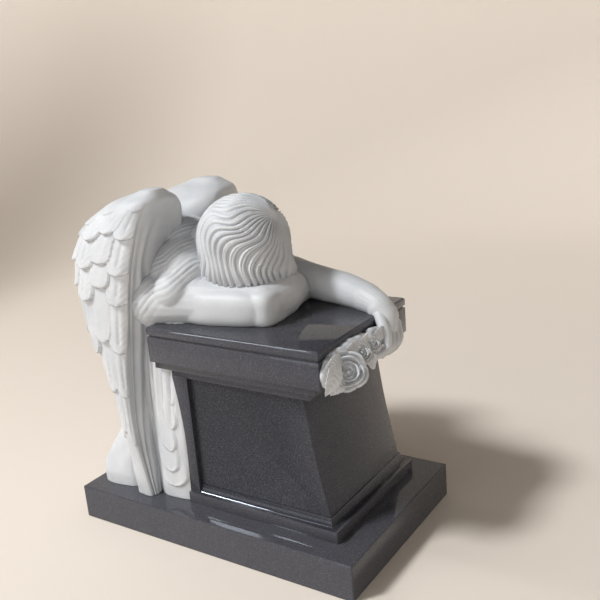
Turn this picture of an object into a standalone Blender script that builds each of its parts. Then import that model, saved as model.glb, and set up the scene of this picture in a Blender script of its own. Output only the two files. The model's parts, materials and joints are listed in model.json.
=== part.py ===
"""Angel headstone: a mourning angel of white marble kneels behind a black granite pedestal, over its cap.

Metres, +Z up. The origin is the centre of the base slab's underside. The pedestal's front faces -Y, and the
angel kneels on the +Y side with its wings folded down its back.
"""

import math

import bmesh
import bpy
import numpy as np
from mathutils import Euler, Vector

# Base slab
SLAB_WIDTH = 0.620
SLAB_LENGTH = 1.000
SLAB_HEIGHT = 0.110
SLAB_EDGE_ROUND = 0.004

# Pedestal, from the cap down
PEDESTAL_HEIGHT = 0.563
CAP_WIDTH = 0.504
CAP_LENGTH = 0.588
CAP_FRONT_SETBACK = 0.094
CAP_SLAB_THICKNESS = 0.023
CAP_EDGE_CHAMFER = 0.005
QUIRK_HEIGHT = 0.008
QUIRK_DEPTH = 0.005
FASCIA_HEIGHT = 0.076
STEP_HEIGHT = 0.0235
STEP_SIDE_INSET = 0.014
STEP_FRONT_INSET = 0.027
STEP_BACK_INSET = 0.006
DIE_WIDTH = 0.418
DIE_FRONT_INSET = 0.084
DIE_BACK_INSET = 0.055
FRONT_SWEEP = 0.067
BACK_SWEEP = 0.026
BASE_MOULD_HEIGHT = 0.026
BASE_MOULD_PROJECTION = 0.018
BASE_FILLET_HEIGHT = 0.005
PLINTH_HEIGHT = 0.034
PLINTH_MARGIN = 0.008
PILASTER_WIDTH = 0.030
PILASTER_PROJECTION = 0.017
COURSE_LAP = 0.002

# Angel, from the slab to the tops of its wings
FIGURE_HEIGHT = 0.950
CONTACT_GAP = 0.0005
CLAY_GRAIN = 0.0045
ANGEL_TRIANGLES = 9000

# Worked out from the sizes above
SCALE = FIGURE_HEIGHT / 0.950  # the angel's own stations and places are drawn for a height of 950 mm
SLAB_TOP = SLAB_HEIGHT
CAP_TOP = SLAB_TOP + PEDESTAL_HEIGHT
CAP_FRONT = -SLAB_LENGTH / 2 + CAP_FRONT_SETBACK
CAP_BACK = CAP_FRONT + CAP_LENGTH
CAP_HALF = CAP_WIDTH / 2
QUIRK_TOP = CAP_TOP - CAP_SLAB_THICKNESS
FASCIA_TOP = QUIRK_TOP - QUIRK_HEIGHT
FASCIA_FOOT = FASCIA_TOP - FASCIA_HEIGHT
UPPER_STEP_FOOT = FASCIA_FOOT - STEP_HEIGHT
DIE_TOP = UPPER_STEP_FOOT - STEP_HEIGHT
PLINTH_TOP = SLAB_TOP + PLINTH_HEIGHT
DIE_FOOT = PLINTH_TOP + BASE_MOULD_HEIGHT + BASE_FILLET_HEIGHT
DIE_HALF = DIE_WIDTH / 2
PILASTER_HALF = DIE_HALF + PILASTER_PROJECTION
DIE_FRONT = CAP_FRONT + DIE_FRONT_INSET
DIE_BACK = CAP_BACK - DIE_BACK_INSET
PLINTH_HALF = DIE_HALF + BASE_MOULD_PROJECTION + PLINTH_MARGIN


def new_collection(name):
    collection = bpy.data.collections.new(name)
    bpy.context.scene.collection.children.link(collection)
    return collection


def stone(name, colour, roughness):
    material = bpy.data.materials.new(name)
    material.use_nodes = True
    shader = material.node_tree.nodes["Principled BSDF"]
    shader.inputs["Base Color"].default_value = (*colour, 1.0)
    shader.inputs["Roughness"].default_value = roughness
    shader.inputs["Metallic"].default_value = 0.0
    return material


def put(obj, collection, material=None):
    """Moves an object into a collection and gives it its material."""
    for old in list(obj.users_collection):
        old.objects.unlink(obj)
    collection.objects.link(obj)
    if material is not None:
        obj.data.materials.clear()
        obj.data.materials.append(material)
    return obj


def mesh_object(name, bm):
    bmesh.ops.recalc_face_normals(bm, faces=bm.faces)
    mesh = bpy.data.meshes.new(name)
    bm.to_mesh(mesh)
    bm.free()
    obj = bpy.data.objects.new(name, mesh)
    bpy.context.scene.collection.objects.link(obj)
    return obj


def loft(name, rings):
    """A closed body through a stack of rings that all have the same number of points."""
    bm = bmesh.new()
    levels = [[bm.verts.new(point) for point in ring] for ring in rings]
    for lower, upper in zip(levels, levels[1:]):
        for i in range(len(lower)):
            j = (i + 1) % len(lower)
            bm.faces.new((lower[i], lower[j], upper[j], upper[i]))
    bm.faces.new(levels[0])
    bm.faces.new(levels[-1])
    return mesh_object(name, bm)


def box(name, low, high):
    bm = bmesh.new()
    bmesh.ops.create_cube(bm, size=1.0)
    size = Vector(high) - Vector(low)
    middle = (Vector(high) + Vector(low)) / 2
    bmesh.ops.scale(bm, vec=size, verts=bm.verts)
    bmesh.ops.translate(bm, vec=middle, verts=bm.verts)
    return mesh_object(name, bm)


def applied(obj):
    """The object with its modifiers worked into its mesh."""
    bpy.context.view_layer.update()
    graph = bpy.context.evaluated_depsgraph_get()
    mesh = bpy.data.meshes.new_from_object(obj.evaluated_get(graph), depsgraph=graph)
    mesh.transform(obj.matrix_world)
    result = bpy.data.objects.new(obj.name, mesh)
    bpy.context.scene.collection.objects.link(result)
    name = obj.name
    bpy.data.objects.remove(obj)
    result.name = name
    return result


def union(body, others):
    for other in others:
        modifier = body.modifiers.new("join " + other.name, "BOOLEAN")
        modifier.operation = "UNION"
        modifier.object = other
    body = applied(body)
    for other in others:
        bpy.data.objects.remove(other)
    return body


# Base slab

def build_slab():
    corner = Vector((SLAB_WIDTH / 2, SLAB_LENGTH / 2, SLAB_HEIGHT))
    slab = box("base_slab", (-corner.x, -corner.y, 0), corner)
    arris = slab.modifiers.new("softened edges", "BEVEL")
    arris.width = SLAB_EDGE_ROUND
    arris.segments = 2
    arris.limit_method = "ANGLE"
    return slab


# Pedestal

def die_front(z):
    """The front face sweeps forward towards its foot, slowly at first and then faster."""
    fall = min(max((DIE_TOP - z) / (DIE_TOP - PLINTH_TOP), 0.0), 1.0)
    return DIE_FRONT - FRONT_SWEEP * (0.55 * fall + 0.45 * fall ** 2)


def die_back(z):
    """The back face is hollowed a little, and the robe fills the hollow."""
    fall = min(max((DIE_TOP - z) / (DIE_TOP - SLAB_TOP), 0.0), 1.0)
    return DIE_BACK - BACK_SWEEP * math.sin(math.pi * min(fall / 0.62, 1.0) / 2) * (1 - 0.35 * fall ** 2)


def course(name, half, front, back, foot, top, chamfer=0.0):
    """One course of the pedestal, with its upper edge chamfered where a chamfer is given."""
    rings = []
    for z, inset in ((foot, 0.0), (top - chamfer, 0.0), (top, chamfer)):
        rings.append([
            (-half + inset, front + inset, z), (half - inset, front + inset, z),
            (half - inset, back - inset, z), (-half + inset, back - inset, z),
        ])
    if chamfer == 0.0:
        rings.pop(1)
    return loft(name, rings)


def swept_block(name, half, front_of, back_of, heights):
    """A block whose front and back faces follow two functions of height."""
    rings = []
    for z in heights:
        rings.append([
            (-half, front_of(z), z), (half, front_of(z), z),
            (half, back_of(z), z), (-half, back_of(z), z),
        ])
    return loft(name, rings)


def die_levels(foot, top, steps=10):
    """Heights at which the die and the room for it have a section, the same ones in both."""
    return [foot] + [PLINTH_TOP + (DIE_TOP - PLINTH_TOP) * i / steps for i in range(steps + 1)] + [top]


def base_mould():
    """A hollow moulding that spreads from the foot of the die to the plinth, on the front and both sides."""
    steps = 5
    rings = []
    for i in range(steps + 1):
        angle = math.pi / 2 * i / steps
        spread = BASE_MOULD_PROJECTION * (1 - math.sin(angle)) + BASE_FILLET_HEIGHT
        z = PLINTH_TOP + BASE_MOULD_HEIGHT * (1 - math.cos(angle))
        front = die_front(DIE_FOOT) - spread
        rings.append([
            (-DIE_HALF - spread, front, z), (DIE_HALF + spread, front, z),
            (DIE_HALF + spread, DIE_BACK - BACK_SWEEP - PILASTER_WIDTH, z),
            (-DIE_HALF - spread, DIE_BACK - BACK_SWEEP - PILASTER_WIDTH, z),
        ])
    return loft("base mould", rings)


def build_pedestal():
    lap = COURSE_LAP
    levels = die_levels(PLINTH_TOP - lap, DIE_TOP + lap)
    die = swept_block("pedestal", DIE_HALF, die_front, die_back, levels)
    plinth_front = die_front(DIE_FOOT) - BASE_MOULD_PROJECTION - 2 * PLINTH_MARGIN
    parts = [
        course("top slab", CAP_HALF, CAP_FRONT, CAP_BACK, QUIRK_TOP, CAP_TOP, CAP_EDGE_CHAMFER),
        course("quirk", CAP_HALF - QUIRK_DEPTH, CAP_FRONT + QUIRK_DEPTH, CAP_BACK - QUIRK_DEPTH,
               FASCIA_TOP - lap, QUIRK_TOP + lap),
        course("fascia", CAP_HALF, CAP_FRONT, CAP_BACK, FASCIA_FOOT, FASCIA_TOP),
        course("upper step", CAP_HALF - STEP_SIDE_INSET, CAP_FRONT + STEP_FRONT_INSET,
               CAP_BACK - STEP_BACK_INSET, UPPER_STEP_FOOT, FASCIA_FOOT + lap),
        course("lower step", CAP_HALF - 2 * STEP_SIDE_INSET, CAP_FRONT + 2 * STEP_FRONT_INSET,
               die_back(DIE_TOP), DIE_TOP, UPPER_STEP_FOOT + lap),
        base_mould(),
        course("plinth", PLINTH_HALF, plinth_front, die_back(PLINTH_TOP), SLAB_TOP + CONTACT_GAP, PLINTH_TOP),
    ]
    for side in (-1, 1):
        inner = side * (DIE_HALF - lap)
        outer = side * PILASTER_HALF
        rings = []
        for z in levels:
            back = die_back(z)
            front = DIE_BACK - BACK_SWEEP - PILASTER_WIDTH
            rings.append([(inner, front, z), (outer, front, z), (outer, back, z), (inner, back, z)])
        parts.append(loft(f"pilaster {side}", rings))
    return union(die, parts)


# Angel: forms in clay, fused, smoothed and then cut to the stone that it lies on

def on_cap(x, y, z):
    """A place measured from the middle of the cap's upper back edge."""
    return Vector((x * SCALE, CAP_BACK + y * SCALE, CAP_TOP + z * SCALE))


def over_front(x, y, z):
    """A place measured from the middle of the cap's upper front edge."""
    return Vector((x * SCALE, CAP_FRONT + y * SCALE, CAP_TOP + z * SCALE))


def smooth_between(stations, values, t, blur=0.035):
    """Values given at a few stations, read in between with rounded corners."""
    total = 0.0
    offsets = np.linspace(-blur, blur, 9)
    for offset in offsets:
        total = total + np.interp(np.asarray(t) + offset, stations, values)
    return total / len(offsets)


def ball(name, centre, radii, turn=(0, 0, 0), segments=48, rings=32):
    bpy.ops.mesh.primitive_uv_sphere_add(segments=segments, ring_count=rings, radius=1.0)
    obj = bpy.context.object
    obj.name = name
    obj.scale = [r * SCALE for r in radii]
    obj.rotation_euler = Euler([math.radians(a) for a in turn])
    obj.location = centre
    return applied(obj)


def limb(name, route, steps=6):
    """A round limb through (place, radius) stations, as a bevelled curve with filled ends."""
    places = [Vector(place) for place, radius in route]
    radii = [radius * SCALE for place, radius in route]
    points = []
    for i in range(len(places) - 1):
        before = places[max(i - 1, 0)]
        after = places[min(i + 2, len(places) - 1)]
        for k in range(steps):
            t = k / steps
            a, b, c, d = before, places[i], places[i + 1], after
            bend = (2 * a - 5 * b + 4 * c - d) * t ** 2 + (3 * b - a - 3 * c + d) * t ** 3
            place = 0.5 * (2 * b + (c - a) * t + bend)
            points.append((place, radii[i] + (radii[i + 1] - radii[i]) * (3 * t ** 2 - 2 * t ** 3)))
    points.append((places[-1], radii[-1]))
    curve = bpy.data.curves.new(name, "CURVE")
    curve.dimensions = "3D"
    curve.bevel_depth = 1.0
    curve.bevel_resolution = 6
    curve.use_fill_caps = True
    spline = curve.splines.new("POLY")
    spline.points.add(len(points) - 1)
    for point, (place, radius) in zip(spline.points, points):
        point.co = (*place, 1.0)
        point.radius = radius
    obj = bpy.data.objects.new(name, curve)
    bpy.context.scene.collection.objects.link(obj)
    obj = applied(obj)
    bm = bmesh.new()
    bm.from_mesh(obj.data)
    bmesh.ops.remove_doubles(bm, verts=bm.verts, dist=1e-6)
    bm.to_mesh(obj.data)
    bm.free()
    return obj


# Wings: share of the figure's height, then how far the section reaches outward, inward, forward and back
WING_STATIONS = (
    (0.000, 0.262, 0.215, 0.050, 0.126),
    (0.060, 0.268, 0.195, 0.058, 0.130),
    (0.150, 0.272, 0.150, 0.074, 0.138),
    (0.240, 0.272, 0.090, 0.088, 0.150),
    (0.340, 0.270, 0.030, 0.088, 0.174),
    (0.440, 0.270, 0.000, 0.078, 0.213),
    (0.560, 0.274, -0.008, 0.055, 0.270),
    (0.680, 0.276, -0.010, 0.030, 0.301),
    (0.780, 0.275, -0.010, 0.008, 0.301),
    (0.860, 0.268, -0.005, -0.014, 0.272),
    (0.920, 0.255, 0.010, -0.032, 0.210),
    (0.960, 0.238, 0.045, -0.044, 0.150),
    (0.985, 0.214, 0.090, -0.046, 0.090),
    (1.000, 0.165, 0.140, -0.020, -0.005),
)
LEFT_WING_SHARE = 0.982
WING_RING = 96
WING_LEVELS = 150
FEATHERED_SHARE = 0.62
FEATHER_RELIEF = 0.0085
FEATHER_COLUMNS = 9.5
FEATHER_ROWS = (0.945, 0.855, 0.760, 0.670, 0.497, 0.340, 0.190, -0.090)
FEATHER_LENGTHS = (0.090, 0.130, 0.130, 0.140, 0.230, 0.240, 0.250, 0.380)
FEATHER_STAGGER = 0.034
FLUTE_RELIEF = 0.004
FLUTES_FROM = 0.86
FLUTE_SPACING = 0.045


def wing_section(t, angle):
    """A point of the near wing's outline at height share t: 0 is its outer side, a quarter turn its back."""
    shares, *reaches = zip(*WING_STATIONS)
    out, inner, front, back = [smooth_between(shares, reach, t, 0.02) * SCALE for reach in reaches]
    middle_x = out - 0.56 * (out - inner)
    middle_y = front + 0.45 * (back - front)
    c = np.cos(angle)
    s = np.sin(angle)
    reach_x = np.where(c > 0, out - middle_x, middle_x - inner)
    reach_y = np.where(s > 0, back - middle_y, middle_y - front)
    round_top = np.clip((t - 0.78) / 0.18, 0, 1)
    behind = np.where(c > 0, 2.5, 3.0)
    ahead = np.where(c > 0, 4.5 - 2.1 * round_top, 3.0 - 0.6 * round_top)
    power = 2.0 / np.where(s > 0, behind, ahead)
    x = middle_x + reach_x * np.sign(c) * np.abs(c) ** power
    y = middle_y + reach_y * np.sign(s) * np.abs(s) ** power
    return x, y


def feather_relief(across, t):
    """Height of overlapping feathers: across runs in columns from the wing's front ridge, t up the wing."""
    height = np.zeros(np.shape(t))
    for row, (tip, length) in enumerate(zip(FEATHER_ROWS, FEATHER_LENGTHS)):
        for parity in (0, 1):
            shifted = across - 0.5 - parity
            offset = np.mod(shifted + 1.0, 2.0) - 1.0
            column = np.round(shifted - offset) + parity
            rise = t - (tip + parity * FEATHER_STAGGER + 0.010 * np.sin(column * 2.4 + row * 1.7))
            half = 0.60 * np.sqrt(np.clip(1 - np.clip(1 - rise / 0.045, 0, 1) ** 2.2, 0, 1))
            inside = (rise > 0) & (np.abs(offset) < half)
            lift = 1 - rise / length
            crown = 0.34 * (1 - (offset / np.maximum(half, 0.05)) ** 2)
            height = np.maximum(height, np.where(inside & (lift > 0), lift * (1 + crown), 0.0))
    return height


def build_wing(side):
    """A folded wing: a domed shoulder that narrows down to a tip on the slab, with feathers outside."""
    share = np.linspace(0, 1, WING_LEVELS)
    levels = 0.9995 * (1 - (1 - share) ** 1.6)  # they crowd together towards the domed top
    height = FIGURE_HEIGHT * (LEFT_WING_SHARE if side > 0 else 1.0)
    angles = np.linspace(0, 2 * np.pi, WING_RING, endpoint=False)
    rings = []
    for t in levels:
        x, y = wing_section(t, angles)
        points = np.stack([x, y], 1)
        step = np.roll(points, -1, 0) - np.roll(points, 1, 0)
        outward = np.stack([step[:, 1], -step[:, 0]], 1)
        outward /= np.maximum(np.linalg.norm(outward, axis=1, keepdims=True), 1e-9)
        turn = (angles + np.pi / 4) % (2 * np.pi) / (2 * np.pi)
        across = turn / FEATHERED_SHARE * FEATHER_COLUMNS
        feathered = np.clip((FEATHERED_SHARE + 0.02 - turn) / 0.05, 0, 1) * np.clip(turn / 0.015, 0, 1)
        relief = FEATHER_RELIEF * feather_relief(across, np.full(len(angles), t)) * feathered
        band = np.clip((turn - FLUTES_FROM) / 0.03, 0, 1)
        relief += FLUTE_RELIEF * band * np.cos((turn - FLUTES_FROM) * 2 * np.pi / FLUTE_SPACING)
        relief *= np.clip((0.985 - t) / 0.05, 0, 1)
        points = points + outward * relief[:, None]
        z = SLAB_TOP + t * height
        rings.append([(side * px, CAP_BACK + py, z) for px, py in points])
    return loft(f"wing {side}", rings)


# Robe, up to the shoulders: share of the pedestal's height, half width, and how far it reaches back
ROBE_STATIONS = (
    (0.000, 0.236, 0.307),
    (0.065, 0.236, 0.307),
    (0.090, 0.235, 0.304),
    (0.190, 0.232, 0.279),
    (0.290, 0.230, 0.243),
    (0.390, 0.228, 0.212),
    (0.550, 0.226, 0.195),
    (0.750, 0.222, 0.230),
    (0.950, 0.212, 0.260),
    (1.050, 0.196, 0.260),
    (1.200, 0.180, 0.240),
)
ROBE_FRONT = -0.115
ROBE_RING = 120
ROBE_LEVELS = 90

# Pouches of the robe, from the upper one down: place of the foot along Y, its height and its half width
ROBE_POUCHES = (
    (-0.030, 0.230, 0.023),
    (-0.012, 0.155, 0.034),
    (-0.014, 0.088, 0.042),
    (-0.020, 0.040, 0.054),
)
POUCH_LENGTH = 0.130
POUCH_DEPTH = 0.009
TRAIN_FLARE = 0.030
TRAIN_FOLD_DEPTH = 0.006
TRAIN_FOLD_SPACING = 0.110
VALLEY_DEPTH = 0.045


def robe_relief(y, t):
    """Pouches of cloth on the robe's side, one above the other, each with a full round lower edge."""
    height = t * PEDESTAL_HEIGHT
    relief = np.zeros(np.shape(y))
    for pouch in ROBE_POUCHES:
        foot_y, foot_height, half_width = [value * SCALE for value in pouch]
        up = np.clip((height - foot_height) / POUCH_LENGTH, 0, 1)
        half = half_width * np.sqrt(1 - (1 - np.clip(up / 0.35, 0, 1)) ** 2)
        inside = half - np.abs(y - foot_y - 0.15 * (height - foot_height))
        relief = np.maximum(relief, POUCH_DEPTH * (1 - up) * np.clip(inside / POUCH_DEPTH, 0, 1))
    return relief


def build_robe():
    """The skirt from the slab to the shoulders, with a train behind and a valley before each wing's tip."""
    shares, half_widths, backs = zip(*ROBE_STATIONS)
    angles = np.linspace(0, 2 * np.pi, ROBE_RING, endpoint=False)
    c = np.cos(angles)
    s = np.sin(angles)
    corner_power = 0.34
    rings = []
    for t in np.linspace(0, shares[-1], ROBE_LEVELS):
        half = float(smooth_between(shares, half_widths, t, 0.02))
        back = float(smooth_between(shares, backs, t, 0.02))
        x = half * SCALE * np.sign(c) * np.abs(c) ** corner_power
        reach = (back - ROBE_FRONT) / 2 * np.sign(s) * np.abs(s) ** corner_power
        drawn_y = (ROBE_FRONT + back) / 2 + reach
        y = drawn_y * SCALE
        flare = TRAIN_FLARE * np.clip((drawn_y - 0.12) / 0.16, 0, 1) * np.clip((0.32 - t) / 0.25, 0, 1)
        valley = np.clip((drawn_y - 0.015) / 0.055, 0, 1) * np.clip((0.16 - drawn_y) / 0.05, 0, 1)
        pouches = robe_relief(y, np.full(len(y), t)) * np.clip(np.abs(c) * 3 - 1.2, 0, 1)
        x = x + np.sign(c) * (flare - VALLEY_DEPTH * valley)
        folds = TRAIN_FOLD_DEPTH * np.sin(x * 2 * np.pi / TRAIN_FOLD_SPACING) * np.clip(s * 3 - 1.5, 0, 1)
        x = x + np.sign(c) * pouches
        y = y + folds * np.clip((0.6 - t) / 0.3, 0, 1)
        z = SLAB_TOP + t * PEDESTAL_HEIGHT
        rings.append([(px, CAP_BACK + py, z) for px, py in zip(x, y)])
    return loft("robe", rings)


# Head: a ball of long wavy hair that falls from the crown
LOCKS = 30
LOCK_RELIEF = 0.0085
HEAD_RADII = (0.126, 0.140, 0.134)
CROWN_DIRECTION = (0.05, -0.80, 0.60)


def directions(obj):
    """Where each vertex of a round body lies as seen from its centre, as unit vectors."""
    points = np.empty(len(obj.data.vertices) * 3)
    obj.data.vertices.foreach_get("co", points)
    points = points.reshape(-1, 3)
    return points / np.linalg.norm(points, axis=1, keepdims=True)


def reshaped(obj, points):
    obj.data.vertices.foreach_set("co", points.ravel())
    obj.data.update()
    return obj


def build_hair():
    centre = on_cap(-0.010, -0.202, 0.217)
    hair = ball("hair", (0, 0, 0), (1, 1, 1), segments=160, rings=120)
    points = directions(hair)
    crown = np.array(CROWN_DIRECTION)
    crown /= np.linalg.norm(crown)
    left = np.cross(crown, [1.0, 0.0, 0.0])
    left /= np.linalg.norm(left)
    ahead = np.cross(left, crown)
    down = np.arccos(np.clip(points @ crown, -1, 1))
    around = np.arctan2(points @ left, points @ ahead)
    wave = 0.075 * np.sin(down * 5.0 + 1.2 * np.sin(around * 2))
    lock = np.abs(np.sin((around + wave * np.clip(down * 1.5, 0, 1)) * LOCKS / 2)) ** 0.7
    relief = LOCK_RELIEF * (lock - 0.6) * np.clip(np.sin(down) * 1.6 - 0.1, 0, 1)
    outward = np.hypot(points[:, 0], points[:, 1])
    below = np.clip(-points[:, 2], 0, 1)
    upright = np.where(below > 0, (1 - below ** 5) ** 0.2 / np.maximum(outward, 1e-6), 1.0)
    flare = 1 + 0.05 * np.clip((below - 0.2) * 2, 0, 1)
    points[:, :2] *= (np.clip(upright, 1, 20) * flare)[:, None]
    points = points * (np.array(HEAD_RADII) * SCALE + relief[:, None])
    return reshaped(hair, points + np.array(centre))


def build_upper_body():
    """Shoulders and back lean over the cap, the head lies on the arms."""
    parts = [
        ball("back", on_cap(0, -0.010, 0.095), (0.190, 0.150, 0.155), (18, 0, 0)),
        ball("nape", on_cap(0, 0.010, 0.175), (0.115, 0.100, 0.100)),
        ball("chest", on_cap(0, -0.110, 0.060), (0.165, 0.160, 0.100)),
        limb("shoulders", (
            (on_cap(-0.165, -0.050, 0.090), 0.062), (on_cap(-0.09, -0.040, 0.125), 0.090),
            (on_cap(0.0, -0.040, 0.135), 0.098), (on_cap(0.09, -0.040, 0.125), 0.090),
            (on_cap(0.165, -0.050, 0.090), 0.062))),
        limb("neck", ((on_cap(0, -0.030, 0.170), 0.085), (on_cap(0, -0.140, 0.200), 0.090))),
        build_hair(),
    ]
    return parts


def build_right_arm():
    """The near arm lies bent on the cap, its forearm under the head and its hand under the other arm."""
    return [
        limb("right upper arm", (
            (on_cap(-0.160, 0.030, 0.054), 0.084), (on_cap(-0.128, -0.110, 0.052), 0.072),
            (on_cap(-0.104, -0.220, 0.049), 0.066), (on_cap(-0.090, -0.308, 0.047), 0.062))),
        limb("sleeve", (
            (on_cap(-0.110, 0.000, 0.072), 0.078), (on_cap(-0.080, -0.130, 0.062), 0.068),
            (on_cap(-0.050, -0.250, 0.058), 0.062))),
        ball("right elbow", on_cap(-0.086, -0.312, 0.044), (0.066, 0.060, 0.060), (0, 0, -12)),
        limb("right forearm", (
            (on_cap(-0.084, -0.308, 0.050), 0.060), (on_cap(-0.010, -0.312, 0.056), 0.065),
            (on_cap(0.065, -0.302, 0.052), 0.058), (on_cap(0.120, -0.300, 0.034), 0.038))),
    ]


def build_left_arm():
    """The far arm stretches over the cap's front edge and hangs there."""
    return [
        limb("left arm", (
            (on_cap(0.165, -0.060, 0.085), 0.068), (on_cap(0.165, -0.210, 0.070), 0.062),
            (on_cap(0.158, -0.350, 0.052), 0.053), (over_front(0.146, 0.150, 0.045), 0.050),
            (over_front(0.122, 0.060, 0.032), 0.044), (over_front(0.106, 0.014, 0.018), 0.036),
            (over_front(0.106, -0.012, -0.006), 0.032))),
    ]


FIRST_FINGER_X = 0.152
FINGER_SPACING = 0.0235
FINGER_RADII = (0.0155, 0.0142, 0.0130, 0.0115)


def build_hand():
    """The hand falls from the wrist over the edge, its fingers curling round the flower stems."""
    parts = [
        limb("palm", (
            (over_front(0.098, 0.008, 0.012), 0.034), (over_front(0.098, -0.014, -0.008), 0.033),
            (over_front(0.094, -0.022, -0.034), 0.030), (over_front(0.090, -0.022, -0.054), 0.024))),
        limb("palm edge", (
            (over_front(0.122, 0.006, 0.012), 0.032), (over_front(0.128, -0.014, -0.010), 0.031),
            (over_front(0.130, -0.020, -0.034), 0.028), (over_front(0.128, -0.022, -0.056), 0.022))),
        limb("thumb", (
            (over_front(0.078, -0.004, -0.002), 0.0190), (over_front(0.058, -0.026, -0.026), 0.0165),
            (over_front(0.048, -0.040, -0.052), 0.0150), (over_front(0.036, -0.046, -0.078), 0.0120))),
    ]
    for i in range(4):
        x = FIRST_FINGER_X - FINGER_SPACING * i
        knuckle = over_front(x, -0.030, -0.040 - 0.004 * i)
        middle = over_front(x - 0.010 - 0.003 * i, -0.047, -0.076 - 0.002 * i)
        bent = over_front(x - 0.030 - 0.003 * i, -0.046, -0.100 + 0.002 * i)
        tip = over_front(x - 0.054 - 0.003 * i, -0.034, -0.114 + 0.004 * i)
        stations = zip((knuckle, middle, bent, tip), FINGER_RADII)
        parts.append(limb(f"finger {i}", tuple(stations)))
    return parts


# Roses: turns of the petals' spiral, then its relief and the depth of a bloom as shares of the radius
PETAL_TURNS = 3.2
PETAL_RELIEF = 0.13
ROSE_FLATTENING = 0.72


def build_rose(centre, radius):
    """A full rose facing outward, its petals wound in a spiral round the heart."""
    rose = ball("rose", (0, 0, 0), (1, 1, 1), segments=72, rings=48)
    points = directions(rose)
    out = np.hypot(points[:, 0], points[:, 2])
    around = np.arctan2(points[:, 2], points[:, 0])
    turn = out * PETAL_TURNS - around / (2 * np.pi)
    petal = (turn - np.floor(turn)) ** 1.5
    relief = PETAL_RELIEF * petal * np.clip(-points[:, 1] * 2 + 0.6, 0, 1)
    points = points * (1 + relief[:, None]) * np.array([1.0, ROSE_FLATTENING, 1.0]) * radius
    return reshaped(rose, points + np.array(centre))


def build_flowers():
    """A bunch of roses with leaves, held against the fascia from the hand to the near corner."""
    return [
        build_rose(over_front(-0.160, -0.036, -0.092), 0.043 * SCALE),
        build_rose(over_front(-0.072, -0.028, -0.056), 0.032 * SCALE),
        build_rose(over_front(0.004, -0.032, -0.058), 0.026 * SCALE),
        ball("bunch", over_front(-0.090, -0.004, -0.062), (0.130, 0.032, 0.036), (0, 8, 0)),
        ball("backing", over_front(-0.172, -0.004, -0.084), (0.076, 0.024, 0.056), (0, 6, 0)),
        ball("sprays", over_front(0.040, -0.014, -0.070), (0.080, 0.026, 0.036), (0, 14, 0)),
        ball("near leaf", over_front(-0.208, -0.010, -0.085), (0.050, 0.016, 0.034), (0, 60, 0)),
        ball("hanging leaf", over_front(-0.180, -0.012, -0.120), (0.045, 0.015, 0.024), (0, 15, 0)),
        limb("stems", (
            (over_front(-0.060, -0.012, -0.070), 0.018), (over_front(0.030, -0.024, -0.078), 0.022),
            (over_front(0.080, -0.026, -0.090), 0.018), (over_front(0.120, -0.020, -0.112), 0.012))),
    ]


def join(name, parts):
    """Copies every part's mesh into one object."""
    bm = bmesh.new()
    for part in parts:
        bm.from_mesh(part.data)
        bpy.data.objects.remove(part)
    mesh = bpy.data.meshes.new(name)
    bm.to_mesh(mesh)
    bm.free()
    obj = bpy.data.objects.new(name, mesh)
    bpy.context.scene.collection.objects.link(obj)
    return obj


def largest_body(obj):
    """Keeps the one connected body and drops crumbs that a cut has left."""
    bm = bmesh.new()
    bm.from_mesh(obj.data)
    unseen = set(bm.verts)
    bodies = []
    while unseen:
        stack = [unseen.pop()]
        body = set(stack)
        while stack:
            vert = stack.pop()
            for edge in vert.link_edges:
                other = edge.other_vert(vert)
                if other not in body:
                    body.add(other)
                    stack.append(other)
        unseen -= body
        bodies.append(body)
    keep = max(bodies, key=len)
    bmesh.ops.delete(bm, geom=[v for v in bm.verts if v not in keep], context="VERTS")
    bm.to_mesh(obj.data)
    bm.free()
    return obj


def stone_cutters(collection):
    """The room that the granite takes up, one gap larger than it, and what is cleared beside the die."""
    gap = CONTACT_GAP
    clear = SLAB_WIDTH
    cutters = [
        box("slab room", (-clear, -clear, -SLAB_HEIGHT), (clear, clear, SLAB_TOP + gap)),
        box("cap room", (-CAP_HALF - gap, CAP_FRONT - gap, FASCIA_FOOT - gap),
            (CAP_HALF + gap, CAP_BACK + gap, CAP_TOP + gap)),
        box("step room", (-CAP_HALF - gap, CAP_FRONT + STEP_FRONT_INSET - gap, UPPER_STEP_FOOT - gap),
            (CAP_HALF + gap, CAP_BACK - STEP_BACK_INSET + gap, FASCIA_FOOT)),
        swept_block("die room", clear, lambda z: die_front(z) - gap, lambda z: die_back(z) + gap,
                    die_levels(SLAB_TOP - gap, UPPER_STEP_FOOT)),
    ]
    for cutter in cutters:
        put(cutter, collection)
        cutter.hide_render = True
        cutter.display_type = "WIRE"
    return cutters


def build_angel(cutters):
    parts = [build_wing(-1), build_wing(1), build_robe()]
    parts += build_upper_body() + build_right_arm() + build_left_arm()
    parts += build_hand() + build_flowers()
    angel = join("angel", parts)
    clay = angel.modifiers.new("fused clay", "REMESH")
    clay.mode = "VOXEL"
    clay.voxel_size = CLAY_GRAIN
    soften = angel.modifiers.new("softened", "SMOOTH")
    soften.factor = 0.5
    soften.iterations = 2
    angel = applied(angel)
    faces = sum(len(polygon.vertices) - 2 for polygon in angel.data.polygons)
    thin = angel.modifiers.new("fewer faces", "DECIMATE")
    thin.ratio = ANGEL_TRIANGLES / faces
    angel = applied(angel)
    for cutter in cutters:
        cut = angel.modifiers.new("cut " + cutter.name, "BOOLEAN")
        cut.operation = "DIFFERENCE"
        cut.object = cutter
    return largest_body(applied(angel))


def main():
    for obj in list(bpy.data.objects):
        bpy.data.objects.remove(obj)
    headstone = new_collection("angel_headstone")
    cutting = new_collection("cutters")
    granite = stone("black granite", (0.030, 0.030, 0.034), 0.12)
    marble = stone("white marble", (0.78, 0.79, 0.80), 0.55)
    put(build_slab(), headstone, granite)
    put(build_pedestal(), headstone, granite)
    put(build_angel(stone_cutters(cutting)), headstone, marble)


main()
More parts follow.
